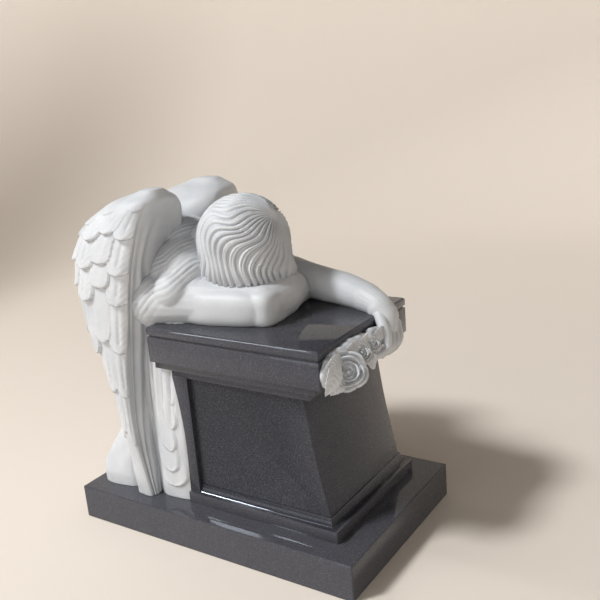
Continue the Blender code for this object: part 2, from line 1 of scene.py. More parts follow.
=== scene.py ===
# %% [markdown]
# # A mourning angel on a granite pedestal
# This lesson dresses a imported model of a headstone. White marble is carved into an angel that kneels
# behind a pedestal and lies over its cap, with folded wings and a bunch of roses. The pedestal and its
# slab are polished black granite. Each step says what the piece is, how it could be made, and why this way
# was chosen.

import json
import math

import bmesh
import bpy
import numpy as np
from mathutils import Euler, Matrix, Vector

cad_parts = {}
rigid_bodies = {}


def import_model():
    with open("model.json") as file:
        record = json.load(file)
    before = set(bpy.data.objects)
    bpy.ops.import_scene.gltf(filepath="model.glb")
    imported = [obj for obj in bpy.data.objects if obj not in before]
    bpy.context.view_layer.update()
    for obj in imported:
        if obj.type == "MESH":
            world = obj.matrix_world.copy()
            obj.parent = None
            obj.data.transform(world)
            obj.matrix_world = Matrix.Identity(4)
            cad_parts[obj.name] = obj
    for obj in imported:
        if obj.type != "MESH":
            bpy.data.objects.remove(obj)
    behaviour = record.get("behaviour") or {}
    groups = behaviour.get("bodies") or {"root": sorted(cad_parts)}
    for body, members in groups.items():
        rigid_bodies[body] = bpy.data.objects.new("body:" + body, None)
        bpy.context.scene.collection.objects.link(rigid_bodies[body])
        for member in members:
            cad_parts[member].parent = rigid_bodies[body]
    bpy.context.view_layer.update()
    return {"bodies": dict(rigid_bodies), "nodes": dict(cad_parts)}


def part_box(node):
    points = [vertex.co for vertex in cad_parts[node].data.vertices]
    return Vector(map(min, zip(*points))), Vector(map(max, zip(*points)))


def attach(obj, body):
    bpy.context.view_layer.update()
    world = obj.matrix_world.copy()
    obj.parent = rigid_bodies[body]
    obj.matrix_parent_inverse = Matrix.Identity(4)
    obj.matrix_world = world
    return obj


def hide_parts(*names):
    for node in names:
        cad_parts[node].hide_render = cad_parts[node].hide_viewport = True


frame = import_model()
root = next(iter(frame["bodies"]))
print("nodes:", sorted(frame["nodes"]), "body:", root)

# %% [markdown]
# ## Sizes
# The figure is fitted to the stone it lies on, so its places are measured from the edges of the packed
# slab and cap. A few values that no box can tell, such as the setback of the cap from the end of the slab,
# are named here.

# %% Name the places that everything hangs on
CAP_SETBACK = 0.094
slab_low, slab_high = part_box("base_slab")
pedestal_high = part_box("pedestal")[1]
SLAB_TOP = slab_high.z
CAP_TOP = pedestal_high.z
CAP_BACK = pedestal_high.y
CAP_FRONT = slab_low.y + CAP_SETBACK
PEDESTAL_HEIGHT = CAP_TOP - SLAB_TOP
FIGURE_HEIGHT = 0.950
GAP = 0.0005
print(f"cap top {CAP_TOP:.3f}, cap back {CAP_BACK:.3f}, cap front {CAP_FRONT:.3f}")


# %% Measure from the cap's back edge or from its front edge
def on_cap(x, y, z):
    """A place measured from the middle of the cap's upper back edge."""
    return Vector((x, CAP_BACK + y, CAP_TOP + z))


def over_front(x, y, z):
    """A place measured from the middle of the cap's upper front edge."""
    return Vector((x, CAP_FRONT + y, CAP_TOP + z))


# %% [markdown]
# ## Helpers that turn numbers into stone
# A carved form that follows a rule, such as a wing, is a grid of points: one direction runs round it, the
# other up it. A form that melts into its neighbours, such as a shoulder, is built as overlapping clay and
# fused with a voxel remesh. These helpers do both.

# %% Make a mesh object from arrays of points and faces
def collect(obj):
    bpy.context.scene.collection.objects.link(obj)
    return obj


def mesh_from(name, points, *faces):
    """A smooth-shaded mesh, with its faces turned outward."""
    points = np.asarray(points, float)
    volume = 0.0
    for face in faces:
        for i in range(1, face.shape[1] - 1):
            a, b, c = points[face[:, 0]], points[face[:, i]], points[face[:, i + 1]]
            volume += np.einsum("ij,ij->", a, np.cross(b, c))
    if volume < 0:
        faces = [face[:, ::-1] for face in faces]
    corners = np.concatenate([face.ravel() for face in faces]).astype(np.int32)
    sizes = np.concatenate([np.full(len(face), face.shape[1]) for face in faces])
    starts = np.concatenate([[0], np.cumsum(sizes)[:-1]]).astype(np.int32)
    mesh = bpy.data.meshes.new(name)
    mesh.vertices.add(len(points))
    mesh.vertices.foreach_set("co", points.astype(np.float32).ravel())
    mesh.loops.add(len(corners))
    mesh.loops.foreach_set("vertex_index", corners)
    mesh.polygons.add(len(sizes))
    mesh.polygons.foreach_set("loop_start", starts)
    mesh.polygons.foreach_set("use_smooth", np.ones(len(sizes), bool))
    mesh.update(calc_edges=True)
    return collect(bpy.data.objects.new(name, mesh))


def body_from_rings(name, rings):
    """A closed body from an array of rings (levels, around, 3), with a fan over each end."""
    levels, around, _ = rings.shape
    points = np.concatenate([rings.reshape(-1, 3), rings[0].mean(0)[None], rings[-1].mean(0)[None]])
    row = np.arange(levels - 1)[:, None] * around
    near = np.arange(around)[None, :]
    far = (near + 1) % around
    quads = np.stack([row + near, row + far, row + around + far, row + around + near], -1).reshape(-1, 4)
    foot = len(points) - 2
    last = (levels - 1) * around
    lower = np.stack([far[0], near[0], np.full(around, foot)], -1)
    upper = np.stack([last + near[0], last + far[0], np.full(around, foot + 1)], -1)
    return mesh_from(name, points, quads, np.concatenate([lower, upper]))


def grid_normals(rings):
    """Outward directions of a closed grid of rings, from its neighbours."""
    up = np.gradient(rings, axis=0)
    along = np.roll(rings, -1, 1) - np.roll(rings, 1, 1)
    normal = np.cross(along, up)
    normal /= np.maximum(np.linalg.norm(normal, axis=2, keepdims=True), 1e-12)
    middle = rings.mean(1, keepdims=True)
    if np.sum(normal * (rings - middle)) < 0:
        normal = -normal
    return normal


def triangles(obj):
    return sum(len(polygon.vertices) - 2 for polygon in obj.data.polygons)


def applied(obj):
    """The object with its modifiers worked into its mesh."""
    bpy.context.view_layer.update()
    graph = bpy.context.evaluated_depsgraph_get()
    mesh = bpy.data.meshes.new_from_object(obj.evaluated_get(graph), depsgraph=graph)
    mesh.transform(obj.matrix_world)
    name = obj.name
    bpy.data.objects.remove(obj)
    return collect(bpy.data.objects.new(name, mesh))


def read(obj, what="co"):
    """The points of a mesh, or its normals, as an array."""
    values = np.empty(len(obj.data.vertices) * 3)
    obj.data.vertices.foreach_get(what, values)
    return values.reshape(-1, 3)


def set_points(obj, points):
    obj.data.vertices.foreach_set("co", np.ascontiguousarray(points, np.float32).ravel())
    obj.data.update()


# %% Clay: balls, pillows and limbs
BALL_SEGMENTS = 48
BALL_RINGS = 32
LIMB_ROUNDNESS = 8


def ball(name, centre, radii, turn=(0, 0, 0)):
    bpy.ops.mesh.primitive_uv_sphere_add(segments=BALL_SEGMENTS, ring_count=BALL_RINGS, radius=1.0)
    obj = bpy.context.object
    obj.name = name
    obj.scale = radii
    obj.rotation_euler = Euler([math.radians(a) for a in turn])
    obj.location = centre
    return applied(obj)


def pillow(name, centre, radii, turn=(0, 0, 0), squareness=4.0):
    """A ball with flattened sides and rounded corners."""
    obj = ball(name, (0, 0, 0), (1, 1, 1))
    points = read(obj)
    points /= (np.abs(points) ** squareness).sum(1, keepdims=True) ** (1 / squareness)
    turned = np.array(Euler([math.radians(a) for a in turn]).to_matrix())
    set_points(obj, (points * np.array(radii)) @ turned.T + np.array(centre))
    return obj


def limb(name, base, *stations, steps=8):
    """A round limb through stations (x, y, z, radius), whose places are measured by the function base."""
    places = [base(*station[:3]) for station in stations]
    radii = [station[3] for station in stations]
    points = []
    for i in range(len(places) - 1):
        a = places[max(i - 1, 0)]
        b, c = places[i], places[i + 1]
        d = places[min(i + 2, len(places) - 1)]
        for k in range(steps):
            t = k / steps
            bent = (2 * a - 5 * b + 4 * c - d) * t ** 2 + (3 * b - a - 3 * c + d) * t ** 3
            place = 0.5 * (2 * b + (c - a) * t + bent)
            points.append((place, radii[i] + (radii[i + 1] - radii[i]) * (3 * t ** 2 - 2 * t ** 3)))
    points.append((places[-1], radii[-1]))
    curve = bpy.data.curves.new(name, "CURVE")
    curve.dimensions = "3D"
    curve.bevel_depth = 1.0
    curve.bevel_resolution = LIMB_ROUNDNESS
    curve.use_fill_caps = True
    spline = curve.splines.new("POLY")
    spline.points.add(len(points) - 1)
    for point, (place, radius) in zip(spline.points, points):
        point.co = (*place, 1.0)
        point.radius = radius
    obj = applied(collect(bpy.data.objects.new(name, curve)))
    bm = bmesh.new()
    bm.from_mesh(obj.data)
    bmesh.ops.remove_doubles(bm, verts=bm.verts, dist=1e-6)
    bm.to_mesh(obj.data)
    bm.free()
    end = ball(name + " end", places[-1], [radii[-1]] * 3)
    start = ball(name + " start", places[0], [radii[0]] * 3)
    return join(name, [obj, end, start])


def join(name, parts):
    """Copies every part's mesh into one object."""
    bm = bmesh.new()
    for part in parts:
        bm.from_mesh(part.data)
        bpy.data.objects.remove(part)
    mesh = bpy.data.meshes.new(name)
    bm.to_mesh(mesh)
    bm.free()
    return collect(bpy.data.objects.new(name, mesh))


def fuse(name, parts, grain, softening):
    """One closed body out of overlapping clay, at a grain in metres, softened by a number of passes."""
    clay = join(name, parts)
    remesh = clay.modifiers.new("fused clay", "REMESH")
    remesh.mode = "VOXEL"
    remesh.voxel_size = grain
    soften = clay.modifiers.new("softened", "SMOOTH")
    soften.factor = 0.5
    soften.iterations = softening
    clay = applied(clay)
    clay.data.shade_smooth()
    return clay


# %% Small tools for carving by number
def smooth_between(stations, values, t, blur=0.02):
    """Values given at a few stations, read in between with rounded corners."""
    total = 0.0
    offsets = np.linspace(-blur, blur, 9)
    for offset in offsets:
        total = total + np.interp(np.asarray(t) + offset, stations, values)
    return total / len(offsets)


def ease(value, low, high):
    """0 below low, 1 above high, smooth in between."""
    t = np.clip((value - low) / (high - low), 0, 1)
    return t * t * (3 - 2 * t)


def chisel(points, scale, seed=0.0):
    """A soft unevenness between -1 and 1, like that of a surface finished by hand.

    Three waves bend each other; their factors only have to be out of step, so that nothing repeats.
    """
    x, y, z = (points / scale).T if points.ndim == 2 else np.moveaxis(points / scale, -1, 0)
    value = np.sin(x * 1.7 + 1.3 * np.sin(y * 1.1 + seed) + z * 0.6)
    value += np.sin(y * 1.9 + 1.1 * np.sin(z * 1.3 + seed * 2) + x * 0.7)
    value += np.sin(z * 1.5 + 1.2 * np.sin(x * 0.9 + seed * 3) + y * 0.8)
    return value / 3


# %% [markdown]
# ## Wings
# Each wing is folded: a domed shoulder at the top that narrows to a tip on the slab, with a thick front
# edge that shows the feathers end on. A subdivision cage could give the shape, but not the feathers, which
# follow a rule. So the wing is a stack of outlines, and the feathers are a height that is added along the
# surface's own normal.

# %% Stations up the wing: share of its height, then how far it reaches outward, inward, forward and back
WING_STATIONS = (
    (0.000, 0.262, 0.215, 0.050, 0.126),
    (0.060, 0.268, 0.195, 0.058, 0.130),
    (0.150, 0.272, 0.150, 0.074, 0.138),
    (0.240, 0.272, 0.090, 0.088, 0.150),
    (0.340, 0.270, 0.030, 0.088, 0.174),
    (0.440, 0.270, 0.000, 0.078, 0.213),
    (0.560, 0.274, -0.008, 0.055, 0.270),
    (0.680, 0.276, -0.010, 0.030, 0.301),
    (0.780, 0.275, -0.010, 0.008, 0.301),
    (0.860, 0.268, -0.005, -0.014, 0.272),
    (0.920, 0.255, 0.010, -0.032, 0.210),
    (0.960, 0.238, 0.045, -0.044, 0.150),
    (0.985, 0.214, 0.090, -0.046, 0.090),
    (1.000, 0.165, 0.140, -0.020, -0.005),
)
# The left wing is lower, with a rounder top: what is added to its reach forward and back at each share.
LEFT_WING_SHARE = 0.984
LEFT_TOP = ((0.78, 0.0, 0.0), (0.86, -0.012, 0.010), (0.92, -0.020, 0.022), (0.96, -0.008, 0.034),
            (0.985, 0.012, 0.044), (1.00, 0.040, 0.060))
# Where the middle of an outline lies between its sides, and between its front and its back.
MIDDLE_INWARD = 0.56
MIDDLE_BACK = 0.45


def wing_section(t, angle, is_left):
    """A point of the outline at height share t: angle 0 is the outer side, a quarter turn the back.

    Each quarter is a superellipse with a power of its own: 2 is round, 4.5 is nearly square.
    """
    shares, *reaches = zip(*WING_STATIONS)
    out, inner, front, back = [smooth_between(shares, reach, t) for reach in reaches]
    if is_left:
        shares, more_front, more_back = zip(*LEFT_TOP)
        front = front + smooth_between(shares, more_front, t)
        back = back + smooth_between(shares, more_back, t)
    middle_x = out - MIDDLE_INWARD * (out - inner)
    middle_y = front + MIDDLE_BACK * (back - front)
    c = np.cos(angle)
    s = np.sin(angle)
    reach_x = np.where(c > 0, out - middle_x, middle_x - inner)
    reach_y = np.where(s > 0, back - middle_y, middle_y - front)
    round_top = ease(t, 0.78, 0.96)
    behind = np.where(c > 0, 2.5, 3.0)
    ahead = np.where(c > 0, 4.5 - 2.1 * round_top, 3.0 - 0.6 * round_top)
    power = 2.0 / np.where(s > 0, behind, ahead)
    x = middle_x + reach_x * np.sign(c) * np.abs(c) ** power
    y = middle_y + reach_y * np.sign(s) * np.abs(s) ** power
    return x, y


# %% Feathers: overlapping tongues in columns, every second column a little higher than its neighbours
FEATHER_COLUMNS = 9.5
FEATHER_ROWS = (0.945, 0.855, 0.760, 0.670, 0.497, 0.340, 0.190, -0.090)
FEATHER_LENGTHS = (0.090, 0.130, 0.130, 0.140, 0.230, 0.240, 0.250, 0.380)
FEATHER_STAGGER = 0.034
FEATHER_UNEVEN = 0.010
# A tongue's half width counts columns, and the length of its round tip is a share of the wing's height.
TONGUE_HALF = 0.56
TIP_LENGTH = 0.028
LONGER_TIP = 0.014
FIRST_LONG_ROW = 4
# What lies on a tongue, as shares of its own relief and width.
RIM_HEIGHT, RIM_WIDTH = 0.20, 0.18
CROWN_HEIGHT = 0.34
QUILL_DEPTH, QUILL_WIDTH = 0.24, 0.095
BARB_HEIGHT, BARBS, BARB_SLANT = 0.036, 46, 3.0


def feather_relief(across, t):
    """Height of the feathers, from 0 to about 1.6; across counts columns from the wing's ridge."""
    height = np.zeros(np.broadcast(across, t).shape)
    for row, (tip, length) in enumerate(zip(FEATHER_ROWS, FEATHER_LENGTHS)):
        for parity in (0, 1):
            shifted = across - 0.5 - parity
            offset = np.mod(shifted + 1.0, 2.0) - 1.0
            column = np.round(shifted - offset) + parity
            wobble = FEATHER_UNEVEN * np.sin(column * 2.4 + row * 1.7)
            rise = t - (tip + parity * FEATHER_STAGGER + wobble)
            point = TIP_LENGTH + LONGER_TIP * (row >= FIRST_LONG_ROW)
            half = TONGUE_HALF * np.sqrt(np.clip(1 - np.clip(1 - rise / point, 0, 1) ** 2.2, 0, 1))
            side = np.abs(offset) / np.maximum(half, 1e-3)
            inside = (rise > 0) & (side < 1)
            lift = np.clip(1 - rise / length, 0, 1)
            rim = RIM_HEIGHT * np.exp(-((1 - side) / RIM_WIDTH) ** 2) * ease(0.09 - rise, 0, 0.06)
            crown = CROWN_HEIGHT * (1 - side ** 2)
            quill = -QUILL_DEPTH * np.exp(-(offset / QUILL_WIDTH) ** 2)
            quill = quill * ease(rise, 0.012, 0.04) * lift ** 0.5
            slanted = (rise * BARBS - np.abs(offset) * BARB_SLANT) * 2 * np.pi + column
            barbs = BARB_HEIGHT * np.sin(slanted) * (1 - side ** 4)
            own = lift * (1.0 + crown + rim) + quill + barbs * lift + 0.06
            height = np.maximum(height, np.where(inside & (lift > 0), own, 0.0))
    return height


# %% Carve a wing
WING_LEVELS = 300
OUTER_SAMPLES = 210
INNER_SAMPLES = 70
# Turns are shares of the way round an outline: from the ridge past the outer side, the back and the inner
# side to the front edge, where the flutes are.
OUTER_SHARE = 0.64
HIGHEST_RING = 0.9994
FEATHER_RELIEF = 0.0135
FULL_COLUMN = 0.046
FLUTE_RELIEF, FLUTES_FROM, FLUTES = 0.0062, 0.865, 3
RIDGE_GROOVE_DEPTH, RIDGE_GROOVE, RIDGE_GROOVE_WIDTH = 0.0070, 0.972, 0.014
COVE_DEPTH, COVE, COVE_WIDTH = 0.016, 0.885, 0.085
CHISEL_DEPTH, CHISEL_SCALE = 0.0011, 0.030


def build_wing(name, side):
    """A wing as a stack of outlines, closer together towards the top; side is 1 for the left one."""
    share = np.linspace(0, 1, WING_LEVELS)
    t = (HIGHEST_RING * (1 - (1 - share) ** 1.35))[:, None]
    outer = np.linspace(0, OUTER_SHARE, OUTER_SAMPLES, endpoint=False)
    inner = np.linspace(OUTER_SHARE, 1, INNER_SAMPLES, endpoint=False)
    turn = np.concatenate([outer, inner])[None, :]
    x, y = wing_section(t, turn * 2 * np.pi - np.pi / 4, side > 0)
    height = FIGURE_HEIGHT * (LEFT_WING_SHARE if side > 0 else 1.0)
    z = np.broadcast_to(t * height, x.shape)
    rings = np.stack([side * x, y, z], -1)
    step = np.linalg.norm(np.diff(rings[:, :OUTER_SAMPLES], axis=1), axis=2)
    run = np.concatenate([np.zeros((WING_LEVELS, 1)), np.cumsum(step, axis=1)], axis=1)
    across = np.zeros(x.shape)
    across[:, :OUTER_SAMPLES] = run / np.maximum(run[:, -1:], 1e-6) * FEATHER_COLUMNS
    softer_below = 0.012 + 0.05 * ease(0.62 - t, 0, 0.25)
    on_back = ease(OUTER_SHARE - turn, 0.0, 0.04) * ease(turn, 0.0, softer_below)
    crisp = ease(0.975 - t, 0, 0.05) * (1 - 0.60 * ease(t, 0.86, 0.94))
    column_width = run[:, -1:] / FEATHER_COLUMNS
    slender = np.clip(column_width / FULL_COLUMN, 0.35, 1.0)
    relief = FEATHER_RELIEF * slender * feather_relief(across, t) * on_back * crisp
    flute = 0.5 - 0.5 * np.cos((turn - FLUTES_FROM) / (1 - FLUTES_FROM) * FLUTES * 2 * np.pi)
    on_front = ease(turn, FLUTES_FROM - 0.010, FLUTES_FROM + 0.010) * ease(0.93 - t, 0, 0.10)
    relief = relief + FLUTE_RELIEF * (flute - 0.6) * on_front
    groove = np.exp(-((turn - RIDGE_GROOVE) / RIDGE_GROOVE_WIDTH) ** 2)
    relief = relief - RIDGE_GROOVE_DEPTH * groove * ease(0.95 - t, 0, 0.08)
    cove = np.clip(1 - ((turn - COVE) / COVE_WIDTH) ** 2, 0, 1)
    relief = relief - COVE_DEPTH * cove * ease(t, 0.62, 0.80) * ease(0.985 - t, 0, 0.10)
    relief = relief + CHISEL_DEPTH * (chisel(rings, CHISEL_SCALE, side) - 1) * ease(0.99 - t, 0, 0.05)
    rings = rings + grid_normals(rings) * relief[..., None]
    rings = rings + np.array([0, CAP_BACK, SLAB_TOP])
    rings[..., 1] = np.minimum(rings[..., 1], slab_high.y - GAP)
    rings[..., 2] = np.maximum(rings[..., 2], SLAB_TOP + GAP)
    return body_from_rings(name, rings)


right_wing = build_wing("right_wing", -1)
left_wing = build_wing("left_wing", 1)
print("wings:", triangles(right_wing), "triangles each")

# %% [markdown]
# ## Robe
# Below the cap the robe hangs between the pedestal and the wings. Its near side shows pouches of cloth in
# nested loops that end in a vertical hem, and behind it spreads into a short train. It is again a stack of
# outlines: a cloth simulation would need a body underneath, while here each fold can be put where it
# belongs.

# %% Stations up the robe: share of the pedestal's height, half width, and how far it reaches back
ROBE_STATIONS = (
    (0.000, 0.236, 0.305),
    (0.065, 0.236, 0.305),
    (0.090, 0.235, 0.302),
    (0.190, 0.232, 0.279),
    (0.290, 0.230, 0.243),
    (0.390, 0.228, 0.212),
    (0.550, 0.226, 0.195),
    (0.750, 0.222, 0.230),
    (0.950, 0.212, 0.260),
    (1.050, 0.196, 0.260),
    (1.200, 0.180, 0.240),
)
ROBE_FRONT = -0.115

# %% Folds of the robe
# Pouches from the upper one down: place of the foot along Y, its height, half width, length and depth.
ROBE_POUCHES = (
    (-0.040, 0.310, 0.016, 0.10, 0.0050),
    (-0.030, 0.232, 0.024, 0.12, 0.0070),
    (-0.014, 0.158, 0.034, 0.13, 0.0085),
    (-0.014, 0.090, 0.043, 0.13, 0.0085),
    (-0.020, 0.042, 0.054, 0.12, 0.0070),
)
# Depth and spacing of the long folds above the pouches, and of the narrow flutes beside the pedestal.
LONG_FOLDS = ((0.0034, 0.036), (0.0012, 0.015))
FLUTED_DEPTH, FLUTED_SPACING = 0.0026, 0.026
TRAIN_FOLDS = ((0.0085, 0.104), (0.0030, 0.043), (0.0012, 0.017))


def robe_folds(y, height):
    """Pouches of cloth on the robe's side: each a hanging U with a full foot and arms that fade upward."""
    relief = np.zeros(np.broadcast(y, height).shape)
    for foot_y, foot_height, half_width, length, depth in ROBE_POUCHES:
        rise = height - foot_height
        up = np.clip(rise / length, 0, 1)
        half = half_width * np.sqrt(np.clip(1 - (1 - np.clip(up / 0.35, 0, 1)) ** 2, 0, 1))
        aside = y - foot_y - 0.15 * rise - 0.004 * np.sin(height * 31 + foot_height * 40)
        inside = half - np.abs(aside)
        roll = ease(inside, -0.0005, 0.0065)
        hollow = 0.50 * ease(inside, 0.007, 0.020) * (1 - up)
        crease = 0.20 * np.exp(-((inside - 0.020) / 0.0035) ** 2)
        forward_arm = 1.0 + 0.30 * ease(-aside, 0, half_width)
        own = depth * (1 - up) ** 1.2 * forward_arm * (roll - hollow + crease)
        relief = np.maximum(relief, own * (rise > 0))
    sweep = y + 0.16 * height + 0.012 * np.sin(height * 9)
    long_folds = 0.0
    for i, (depth, spacing) in enumerate(LONG_FOLDS):
        long_folds = long_folds + depth * np.cos(sweep * 2 * np.pi / spacing + i)
    relief = relief + long_folds * ease(height, 0.20, 0.36) * ease(y, -0.075, -0.045)
    fluted = FLUTED_DEPTH * np.cos((y - ROBE_FRONT) * 2 * np.pi / FLUTED_SPACING)
    relief = relief + fluted * ease(ROBE_FRONT + 0.058 - y, 0.0, 0.02) * ease(height, 0.04, 0.08)
    return relief * ease(height, 0.002, 0.012)


def train_folds(x, height):
    """Folds that run down the train, of uneven width, the way cloth bunches on the ground."""
    drift = x + 0.012 * np.sin(x * 21 + 1.0) + 0.006 * np.sin(height * 14 + x * 9)
    (broad_depth, broad_spacing), (depth, spacing), (fine_depth, fine_spacing) = TRAIN_FOLDS
    broad = broad_depth * np.cos(drift * 2 * np.pi / broad_spacing) * (0.75 + 0.35 * np.sin(x * 17 + 0.5))
    middle = depth * np.cos(drift * 2 * np.pi / spacing + 1.2)
    return broad + middle + fine_depth * np.cos(drift * 2 * np.pi / fine_spacing)


# %% Carve the robe
ROBE_LEVELS = 230
ROBE_RING = 300
ROBE_TOP = 1.15
CORNER_POWER = 0.34
TYPICAL_HALF_WIDTH, TYPICAL_HALF_LENGTH = 0.226, 0.18
TRAIN_FLARE = 0.028
VALLEY_DEPTH = 0.030


def build_robe():
    """The robe as a stack of rounded rectangles, sampled evenly along their sides and corners."""
    dense = np.linspace(0, 2 * np.pi, 4001)
    t = np.linspace(0, ROBE_TOP, ROBE_LEVELS)[:, None]
    shares, half_widths, backs = zip(*ROBE_STATIONS)
    half = smooth_between(shares, half_widths, t)
    back = smooth_between(shares, backs, t)
    c = np.sign(np.cos(dense)) * np.abs(np.cos(dense)) ** CORNER_POWER
    s = np.sign(np.sin(dense)) * np.abs(np.sin(dense)) ** CORNER_POWER
    steps = np.hypot(np.diff(c) * TYPICAL_HALF_WIDTH, np.diff(s) * TYPICAL_HALF_LENGTH)
    run = np.concatenate([[0], np.cumsum(steps)])
    even = np.linspace(0, run[-1], ROBE_RING, endpoint=False)
    c = np.interp(even, run, c)[None, :]
    s = np.interp(even, run, s)[None, :]
    x = half * c
    y = (ROBE_FRONT + back) / 2 + (back - ROBE_FRONT) / 2 * s
    z = t * PEDESTAL_HEIGHT
    on_side = ease(np.abs(c), 0.90, 0.985)
    flare = TRAIN_FLARE * np.clip((y - 0.12) / 0.16, 0, 1) * np.clip((0.32 - t) / 0.25, 0, 1)
    valley = VALLEY_DEPTH * ease(y, 0.010, 0.090) * np.clip((0.16 - y) / 0.05, 0, 1)
    x = x + np.sign(c) * (flare - valley)
    x = x + np.sign(c) * on_side * robe_folds(y, z)
    y = y + train_folds(x, z) * ease(s, 0.80, 0.98) * ease(0.60 - t, 0, 0.35) * ease(z, 0.02, 0.05)
    rings = np.stack([x, y, z + np.zeros(x.shape)], -1)
    rings = rings + grid_normals(rings) * 0.0010 * chisel(rings, 0.028, 2.0)[..., None]
    rings = rings + np.array([0, CAP_BACK, SLAB_TOP + GAP])
    rings[..., 2] = np.maximum(rings[..., 2], SLAB_TOP + GAP)
    return body_from_rings("robe", rings)


robe = build_robe()
print("robe:", triangles(robe), "triangles")

# %% [markdown]
# ## Shoulders, mantle and arms
# These forms melt into each other, so they are overlapping clay that is fused with a voxel remesh. The
# mantle's folds run as parallel arcs over the back, from the neck to the hem behind the near arm. They are
# a wave of the distance from that hem, which is simpler and more even than modelling each fold.

# %% Fuse the body
BODY_GRAIN = 0.0035
AHEAD = CAP_FRONT - CAP_BACK
body_clay = [
    ball("back", on_cap(0, -0.010, 0.095), (0.190, 0.150, 0.155), (18, 0, 0)),
    ball("nape", on_cap(0, 0.010, 0.175), (0.115, 0.100, 0.100)),
    ball("chest", on_cap(0, -0.110, 0.060), (0.165, 0.160, 0.100)),
    limb("shoulders", on_cap, (-0.165, -0.050, 0.090, 0.062), (-0.09, -0.040, 0.125, 0.090),
         (0.0, -0.040, 0.135, 0.098), (0.09, -0.040, 0.125, 0.090), (0.165, -0.050, 0.090, 0.062)),
    limb("neck", on_cap, (0, -0.030, 0.170, 0.085), (0, -0.140, 0.200, 0.090)),
    ball("waist", on_cap(0, 0.050, -0.030), (0.180, 0.170, 0.100)),
    limb("right upper arm", on_cap, (-0.160, 0.030, 0.054, 0.084), (-0.128, -0.110, 0.052, 0.072),
         (-0.104, -0.220, 0.049, 0.066), (-0.090, -0.308, 0.047, 0.062)),
    limb("sleeve", on_cap, (-0.110, 0.000, 0.072, 0.078), (-0.080, -0.130, 0.062, 0.068),
         (-0.050, -0.250, 0.058, 0.062)),
    pillow("right sleeve", on_cap(-0.114, -0.196, 0.046), (0.070, 0.150, 0.056), (0, 0, 10), 3.4),
    pillow("right elbow", on_cap(-0.082, -0.302, 0.046), (0.068, 0.064, 0.054), (0, 0, 2), 4.0),
    pillow("right cuff", on_cap(-0.020, -0.308, 0.050), (0.076, 0.056, 0.055), (0, 0, 4), 3.6),
    limb("right forearm", on_cap, (-0.084, -0.308, 0.050, 0.060), (-0.010, -0.312, 0.056, 0.065),
         (0.065, -0.302, 0.052, 0.058), (0.120, -0.300, 0.034, 0.038)),
    limb("left arm", on_cap, (0.165, -0.060, 0.085, 0.068), (0.165, -0.210, 0.070, 0.062),
         (0.158, -0.350, 0.052, 0.053), (0.146, AHEAD + 0.150, 0.045, 0.050),
         (0.122, AHEAD + 0.060, 0.032, 0.044), (0.106, AHEAD + 0.014, 0.018, 0.036),
         (0.106, AHEAD - 0.012, -0.006, 0.032)),
]
body = fuse("body", body_clay, BODY_GRAIN, 4)
print("body:", triangles(body), "triangles")

# %% Carve the mantle's folds
HEM = np.array([
    (-0.060, -0.060, 0.800), (-0.090, 0.000, 0.795), (-0.130, 0.040, 0.785), (-0.180, 0.074, 0.755),
    (-0.195, 0.120, 0.730), (-0.200, 0.180, 0.690), (-0.190, 0.215, 0.655)])
FOLD_SPACING = 0.0145
FOLD_DEPTH, FOLD_DEPTH_CHANGE = 0.0013, 0.0007
LIP_HEIGHT, LIP_FLAT, LIP_WIDTH = 0.0018, 0.003, 0.005


def distance_to_line(points, line):
    """Distance from each point to a polyline, and how far along the polyline the nearest place is."""
    best = np.full(len(points), 1e9)
    place = np.zeros(len(points))
    for i in range(len(line) - 1):
        a, b = line[i], line[i + 1]
        run = b - a
        share = np.clip((points - a) @ run / (run @ run), 0, 1)
        gap = np.linalg.norm(points - (a + share[:, None] * run), axis=1)
        nearer = gap < best
        best = np.where(nearer, gap, best)
        place = np.where(nearer, (i + share) / (len(line) - 1), place)
    return best, place


def carve_mantle(obj):
    """Sinks the arcs of the mantle into the back on both sides, and raises a lip along its hem."""
    points = read(obj)
    normals = read(obj, "normal")
    relief = np.zeros(len(points))
    for side in (-1, 1):
        own = points * np.array([-side, 1, 1])
        gap, place = distance_to_line(own, HEM)
        behind = ease(own[:, 1] + 0.55 * (own[:, 0] + 0.13) + 0.9 * (own[:, 2] - 0.75), 0.050, 0.075)
        near_side = ease(0.02 - own[:, 0], -0.01, 0.03)
        wobble = 0.0030 * np.sin(place * 15)
        wave = 1 - 2 * np.abs(np.sin((gap + wobble) / FOLD_SPACING * np.pi)) ** 0.8
        depth = FOLD_DEPTH + FOLD_DEPTH_CHANGE * np.sin(gap * 95 + 1.5)
        depth *= 0.6 + 0.4 * np.exp(-gap / 0.13)
        relief -= near_side * behind * depth * wave
        lip = np.exp(-(np.clip(gap - LIP_FLAT, 0, None) / LIP_WIDTH) ** 2)
        relief += near_side * behind * LIP_HEIGHT * lip
    relief += 0.0010 * chisel(points, 0.032, 4.0)
    set_points(obj, points + normals * relief[:, None])


carve_mantle(body)

# %% [markdown]
# ## Hair
# The head lies on the arms and shows only its hair, so no face is needed. Strand curves would be the usual
# tool for hair, but a mason carves locks, not strands. The locks are ridges on a ball: they leave the
# crown like the ribs of a fan and bend until they hang straight down.

# %% Carve the hair
HAIR_LOCKS = 38
HAIR_LEVELS = 220
HAIR_RING = 340
LOCK_DEPTH = 0.0100
# Sideways swing of the locks, in radians round the crown.
BROAD_SWING, FINE_SWING = 0.075, 0.012
FRINGE_TURN, FRINGE_WIDTH, FRINGE_FULLNESS = -0.90, 0.38, 0.10
HEAD = on_cap(-0.010, -0.202, 0.217)
HEAD_RADII = np.array([0.126, 0.140, 0.134])
CROWN = np.array([0.05, -0.80, 0.60]) / np.linalg.norm([0.05, -0.80, 0.60])


def wrapped(angle):
    return np.mod(angle + np.pi, 2 * np.pi) - np.pi


